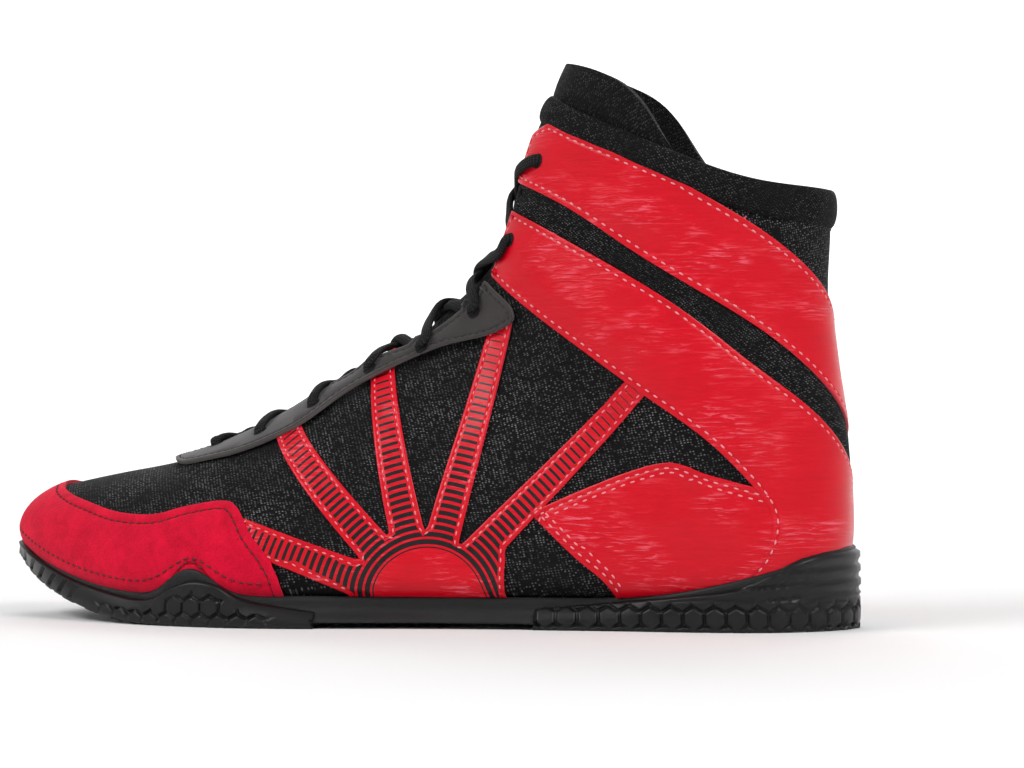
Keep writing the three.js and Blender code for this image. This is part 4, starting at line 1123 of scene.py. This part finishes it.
# Sole wall. One smooth rubber cup that climbs the upper at heel, ball and toe, with a thin shank under
# the arch; it is cemented to the upper all round.
SOLE_PLAN = [
    (-50, 3, -3), (-49, 12, -12), (-46.5, 22.5, -22.5), (-41.4, 33, -32.5), (-34.5, 37, -36.5),
    (-24.1, 37.5, -35), (-13.8, 40, -31.5), (-3.4, 44, -33), (6.9, 51, -42), (15.5, 54.5, -51),
    (22.4, 52.5, -54.5), (31, 43.5, -52), (39.7, 28, -43), (44.8, 14, -31.5), (48.3, 0, -21),
    (50, -8, -12),
]
PAD_TOP_FOREFOOT = [(8, 5.5), (14.8, 8.5), (17.2, 10.6), (19.7, 14.9), (22.4, 16), (25, 13.5),
                    (27.6, 9.5), (31, 9), (37.9, 13), (43.1, 18), (48.3, 25), (54, 29)]
PAD_TOP_HEEL = [(-53, 28.5), (-47.2, 26.6), (-43.1, 21.3), (-38.6, 15), (-34.1, 12.8), (-24.1, 9.6),
                (-15, 7)]
ARCH_FROM = along(-15.5)
ARCH_TO = along(8.3)
ARCH_RISE = 1.9


def sole_bottom(x):
    return 16.6 * (np.maximum(x - 75.1, 0) / 63.8) ** 2


edge_x, edge_outer, edge_inner = smooth_line(SOLE_PLAN, 500).T / 100
edge_x *= SHOE_LENGTH
edge_outer *= BALL_WIDTH
edge_inner *= BALL_WIDTH


# The line where the cup ends on the upper: for each row, the angle at which the foxing line passes.
def foxing_angles(rows):
    low, high = np.full(len(rows), 0.9), np.full(len(rows), math.pi)
    for _ in range(40):
        middle = (low + high) / 2
        p = last_points(rows, middle)
        above = p[:, 2] > foxing_top(p[:, 0])
        low, high = np.where(above, middle, low), np.where(above, high, middle)
    return high


all_rows = np.linspace(6.0, 23.9, 900)
reach = foxing_angles(all_rows)
closing = np.where(reach < math.pi - 0.01)[0]
first_row, last_row = all_rows[closing[0]], all_rows[closing[-1]]
RIM_STEPS = 260
spread = (1 - np.cos(np.linspace(0, math.pi, RIM_STEPS))) / 2
rim_rows = first_row + (last_row - first_row) * spread
rim_angles = foxing_angles(rim_rows)
rim_angles[[0, -1]] = math.pi


def rim(side, lift):
    return skin(rim_rows, side * rim_angles, np.full(RIM_STEPS, lift))


def tread(side):
    top = rim(side, 2.4)
    x = np.interp(top[:, 0], (top[0, 0], top[-1, 0]), (edge_x[0], edge_x[-1]))
    y = np.interp(x, edge_x, edge_outer if side > 0 else edge_inner)
    y[[0, -1]] = (edge_outer[[0, -1]] + edge_inner[[0, -1]]) / 2
    return np.stack([x, y, sole_bottom(x)], axis=1)


# Both sides as one closed line, from the heel along the outer side to the toe and back along the inner.
def both(make):
    return np.vstack([make(1), make(-1)[::-1][1:-1]])


RIM_TOP = both(lambda side: rim(side, 2.45))
RIM_LIP = both(lambda side: rim(side, 0.9))
TREAD = both(tread)
WALL_COUNT = len(TREAD)
centre_line = TREAD.copy()
centre_line[:, 1] = np.interp(TREAD[:, 0], edge_x, (edge_outer + edge_inner) / 2)
gone_round = np.concatenate([[0], np.cumsum(np.linalg.norm(np.diff(TREAD[:, :2], axis=0), axis=1))])
ahead_way = np.roll(TREAD, -3, axis=0) - np.roll(TREAD, 3, axis=0)
OUTWARD = np.stack([-ahead_way[:, 1], ahead_way[:, 0], np.zeros(WALL_COUNT)], axis=1)
OUTWARD /= np.linalg.norm(OUTWARD, axis=1)[:, None] + 1e-9
if OUTWARD[60, 1] < 0:
    OUTWARD *= -1


def rubber(name, colour, roughness, grain):
    made = add_material(name, colour, roughness, Specular_IOR_Level=0.32)
    place = object_places(made)
    cloud = noise(made, place, 60.0, 4.0)
    dark = tuple(0.72 * c for c in colour)
    light = tuple(1.35 * c for c in colour)
    join(made, tint(made, cloud, dark, light), "Base Color")
    join(made, maths(made, "MULTIPLY_ADD", cloud, 0.22, roughness - 0.1), "Roughness")
    relief(made, noise(made, place, 1300.0, 3.0), grain, 0.8)
    return made


wall_rubber = rubber("wall_rubber", (0.0085, 0.0085, 0.009), 0.5, 0.10)
tread_rubber = rubber("tread_rubber", (0.006, 0.006, 0.0065), 0.38, 0.06)


# A ring of cross-sections as a closed skin: each profile point is a ring round the shoe.
def ring_shape(rings):
    count = len(rings)
    stack = np.array(rings)
    shape = bmesh.new()
    bmesh.ops.create_grid(shape, x_segments=WALL_COUNT, y_segments=count - 1, size=0.5)
    for vert in shape.verts:
        k = round((vert.co.x + 0.5) * WALL_COUNT) % WALL_COUNT
        line = round((vert.co.y + 0.5) * (count - 1))
        vert.co = stack[line, k] * MM
    bmesh.ops.remove_doubles(shape, verts=shape.verts[:], dist=0.005 * MM)
    bmesh.ops.recalc_face_normals(shape, faces=shape.faces[:])
    return shape


arch = np.clip((TREAD[:, 0] - ARCH_FROM + 6) / 8, 0, 1) * np.clip((ARCH_TO + 6 - TREAD[:, 0]) / 8, 0, 1)
wall_foot = TREAD - OUTWARD * 1.3
wall_foot[:, 2] = TREAD[:, 2] + 1.2 + (ARCH_RISE - 1.2) * arch
wall_rings = [RIM_LIP, RIM_LIP * 0.4 + RIM_TOP * 0.6 + [0, 0, 0.25], RIM_TOP - [0, 0, 0.35]]
for share in (0.12, 0.25, 0.4, 0.55, 0.7, 0.82, 0.92, 1.0):
    ring = RIM_TOP + (wall_foot - RIM_TOP) * share
    hollow = 0.9 * math.sin(math.pi * min(share * 1.25, 1))
    wall_rings.append(ring - OUTWARD * hollow - [0, 0, 0.35 * (1 - share)])
for share in (0.04, 0.3, 0.65, 1.0):
    wall_rings.append(wall_foot + (centre_line - wall_foot) * share * [1, 1, 0])
sole_wall = add_piece("sole_wall", ring_shape(wall_rings), [wall_rubber])
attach(sole_wall, "root")
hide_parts("midsole")

# Outsole pads. Moulded black rubber under the ball and toes and under the heel, with a net of hexagonal
# lugs on the tread and up the sides, slanted grooves at the toe and four ribs behind the heel.


def hexagons(x, y, pitch):
    p = np.stack([x, y], axis=1) / pitch
    size = np.array([1.0, math.sqrt(3)])
    a = np.mod(p, size) - size / 2
    b = np.mod(p - size / 2, size) - size / 2
    nearer = (a**2).sum(axis=1) < (b**2).sum(axis=1)
    g = np.abs(np.where(nearer[:, None], a, b))
    return (0.5 - np.maximum(g[:, 0], g[:, 0] * 0.5 + g[:, 1] * 0.8660254)) * pitch


def groove(distance, width):
    return np.clip(1 - distance / width, 0, 1) ** 0.6


def pad_line(points, x):
    line = smooth_line([(along(a), height(b)) for a, b in points], 200)
    return np.interp(x, line[:, 0], line[:, 1])


PAD_STEPS = 1700
PAD_SIDE_LINES = 30
LUG_PITCH = 7.2
TOE_TIP = 147


def pad_shape(from_x, to_x, top_line, side_relief):
    steps = PAD_STEPS
    walk = np.linspace(0, gone_round[-1], steps, endpoint=False)
    edge = np.stack([np.interp(walk, gone_round, TREAD[:, k]) for k in range(3)], axis=1)
    outward = np.stack([np.interp(walk, gone_round, OUTWARD[:, k]) for k in range(3)], axis=1)
    top_wall = np.stack([np.interp(walk, gone_round, RIM_TOP[:, k]) for k in range(3)], axis=1)
    low = np.stack([np.interp(walk, gone_round, wall_foot[:, k]) for k in range(3)], axis=1)
    middle = np.stack([np.interp(walk, gone_round, centre_line[:, k]) for k in range(3)], axis=1)
    high = pad_line(top_line, edge[:, 0])
    ease = np.clip(np.minimum(edge[:, 0] - from_x, to_x - edge[:, 0]) / 14, 0, 1)
    ease = np.minimum(ease, np.clip((TOE_TIP - edge[:, 0]) / 12, 0, 1))
    rings = []
    for k in range(PAD_SIDE_LINES + 1):
        share = k / PAD_SIDE_LINES
        z = high + (edge[:, 2] - high) * share
        up = np.clip((z - low[:, 2]) / np.maximum(top_wall[:, 2] - low[:, 2], 1), 0, 1)
        body = low + (top_wall - low) * up[:, None]
        out = (0.3 + (1.0 + 0.9 * share) * ease) * min(1, k / 2) - (0.6 if k == 0 else 0)
        place = body + outward * out[:, None]
        place = place * (1 - share) + (edge + outward * 0.3 * (1 - share)) * share
        place[:, 2] = z
        depth = side_relief(edge[:, 0], walk, z, z - edge[:, 2], share)
        rounding = 0.8 * max(0.0, (share - 0.88) / 0.12) ** 2
        rings.append(place - outward * (depth + rounding)[:, None])
    for share in np.concatenate([[0.012], np.linspace(0.03, 1.0, 44)]):
        place = edge + (middle - edge) * share
        flat = hexagons(place[:, 0], place[:, 1], LUG_PITCH)
        dip = 1.7 * groove(flat, 0.95) * min(1, share / 0.03)
        place[:, 2] = sole_bottom(place[:, 0]) + dip
        rings.append(place)
    stack = np.array(rings)
    shape = bmesh.new()
    bmesh.ops.create_grid(shape, x_segments=steps, y_segments=len(rings) - 1, size=0.5)
    for vert in shape.verts:
        k = round((vert.co.x + 0.5) * steps) % steps
        line = round((vert.co.y + 0.5) * (len(rings) - 1))
        vert.co = stack[line, k] * MM
    for limit, way in ((from_x, -1), (to_x, 1)):
        geometry = shape.verts[:] + shape.edges[:] + shape.faces[:]
        cut = bmesh.ops.bisect_plane(shape, geom=geometry, plane_co=(limit * MM, 0, 0),
                                     plane_no=(way, 0, 0), clear_outer=True, dist=1e-7)
        rim_edges = [e for e in cut["geom_cut"] if isinstance(e, bmesh.types.BMEdge)]
        ends = bmesh.ops.extrude_edge_only(shape, edges=rim_edges)["geom"]
        for vert in (v for v in ends if isinstance(v, bmesh.types.BMVert)):
            vert.co.z = max(vert.co.z, (ARCH_RISE + 1.5) * MM)
            vert.co.x -= way * 1.5 * MM
    bmesh.ops.remove_doubles(shape, verts=shape.verts[:], dist=0.004 * MM)
    bmesh.ops.recalc_face_normals(shape, faces=shape.faces[:])
    return shape


def forefoot_relief(x, walk, z, rise, share):
    toe = np.clip((x - 108) / 8, 0, 1) * np.clip((142 - x) / 4, 0, 1)
    slant = np.abs(np.mod(x + rise * 0.55, 5.2) - 2.6)
    toe_groove = groove(2.6 - slant, 0.9) * toe * (0.12 < share < 0.85)
    ball = np.clip((x - 34) / 10, 0, 1) * np.clip((104 - x) / 8, 0, 1)
    net = groove(hexagons(walk, rise - 1.0, 6.4), 0.62) * ball * np.clip((rise - 0.6) / 1.5, 0, 1)
    below_wing = np.clip((pad_line(PAD_TOP_FOREFOOT, x) - 3.0 - z) / 1.0, 0, 1)
    return 1.2 * toe_groove + 1.5 * net * below_wing


def heel_relief(x, walk, z, rise, share):
    rows = np.clip((9.5 - rise) / 1.0, 0, 1)
    net = groove(hexagons(walk, rise + 1.6, 6.8), 0.62) * rows * np.clip((rise - 0.5) / 1.2, 0, 1)
    back = np.clip((-100 - x) / 18, 0, 1)
    slope = z - 10.5 + (x + 145) * 0.10
    ribs = groove(np.abs(np.mod(slope, 4.3) - 2.15), 0.75) * back * (z > 10.5) * (z < 26)
    ledge = groove(np.abs(rise - 10.2), 0.7)
    return 1.4 * net + 1.2 * ribs + 0.7 * ledge * (share > 0.1)


forefoot_shape = pad_shape(ARCH_TO + 0.3, along(60), PAD_TOP_FOREFOOT, forefoot_relief)
forefoot = add_piece("forefoot_tread", forefoot_shape, [tread_rubber])
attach(forefoot, "root")
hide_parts("outsole_forefoot")
heel_shape = pad_shape(along(-60), ARCH_FROM - 0.3, PAD_TOP_HEEL, heel_relief)
heel = add_piece("heel_tread", heel_shape, [tread_rubber])
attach(heel, "root")
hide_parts("outsole_heel")

bpy.context.view_layer.update()
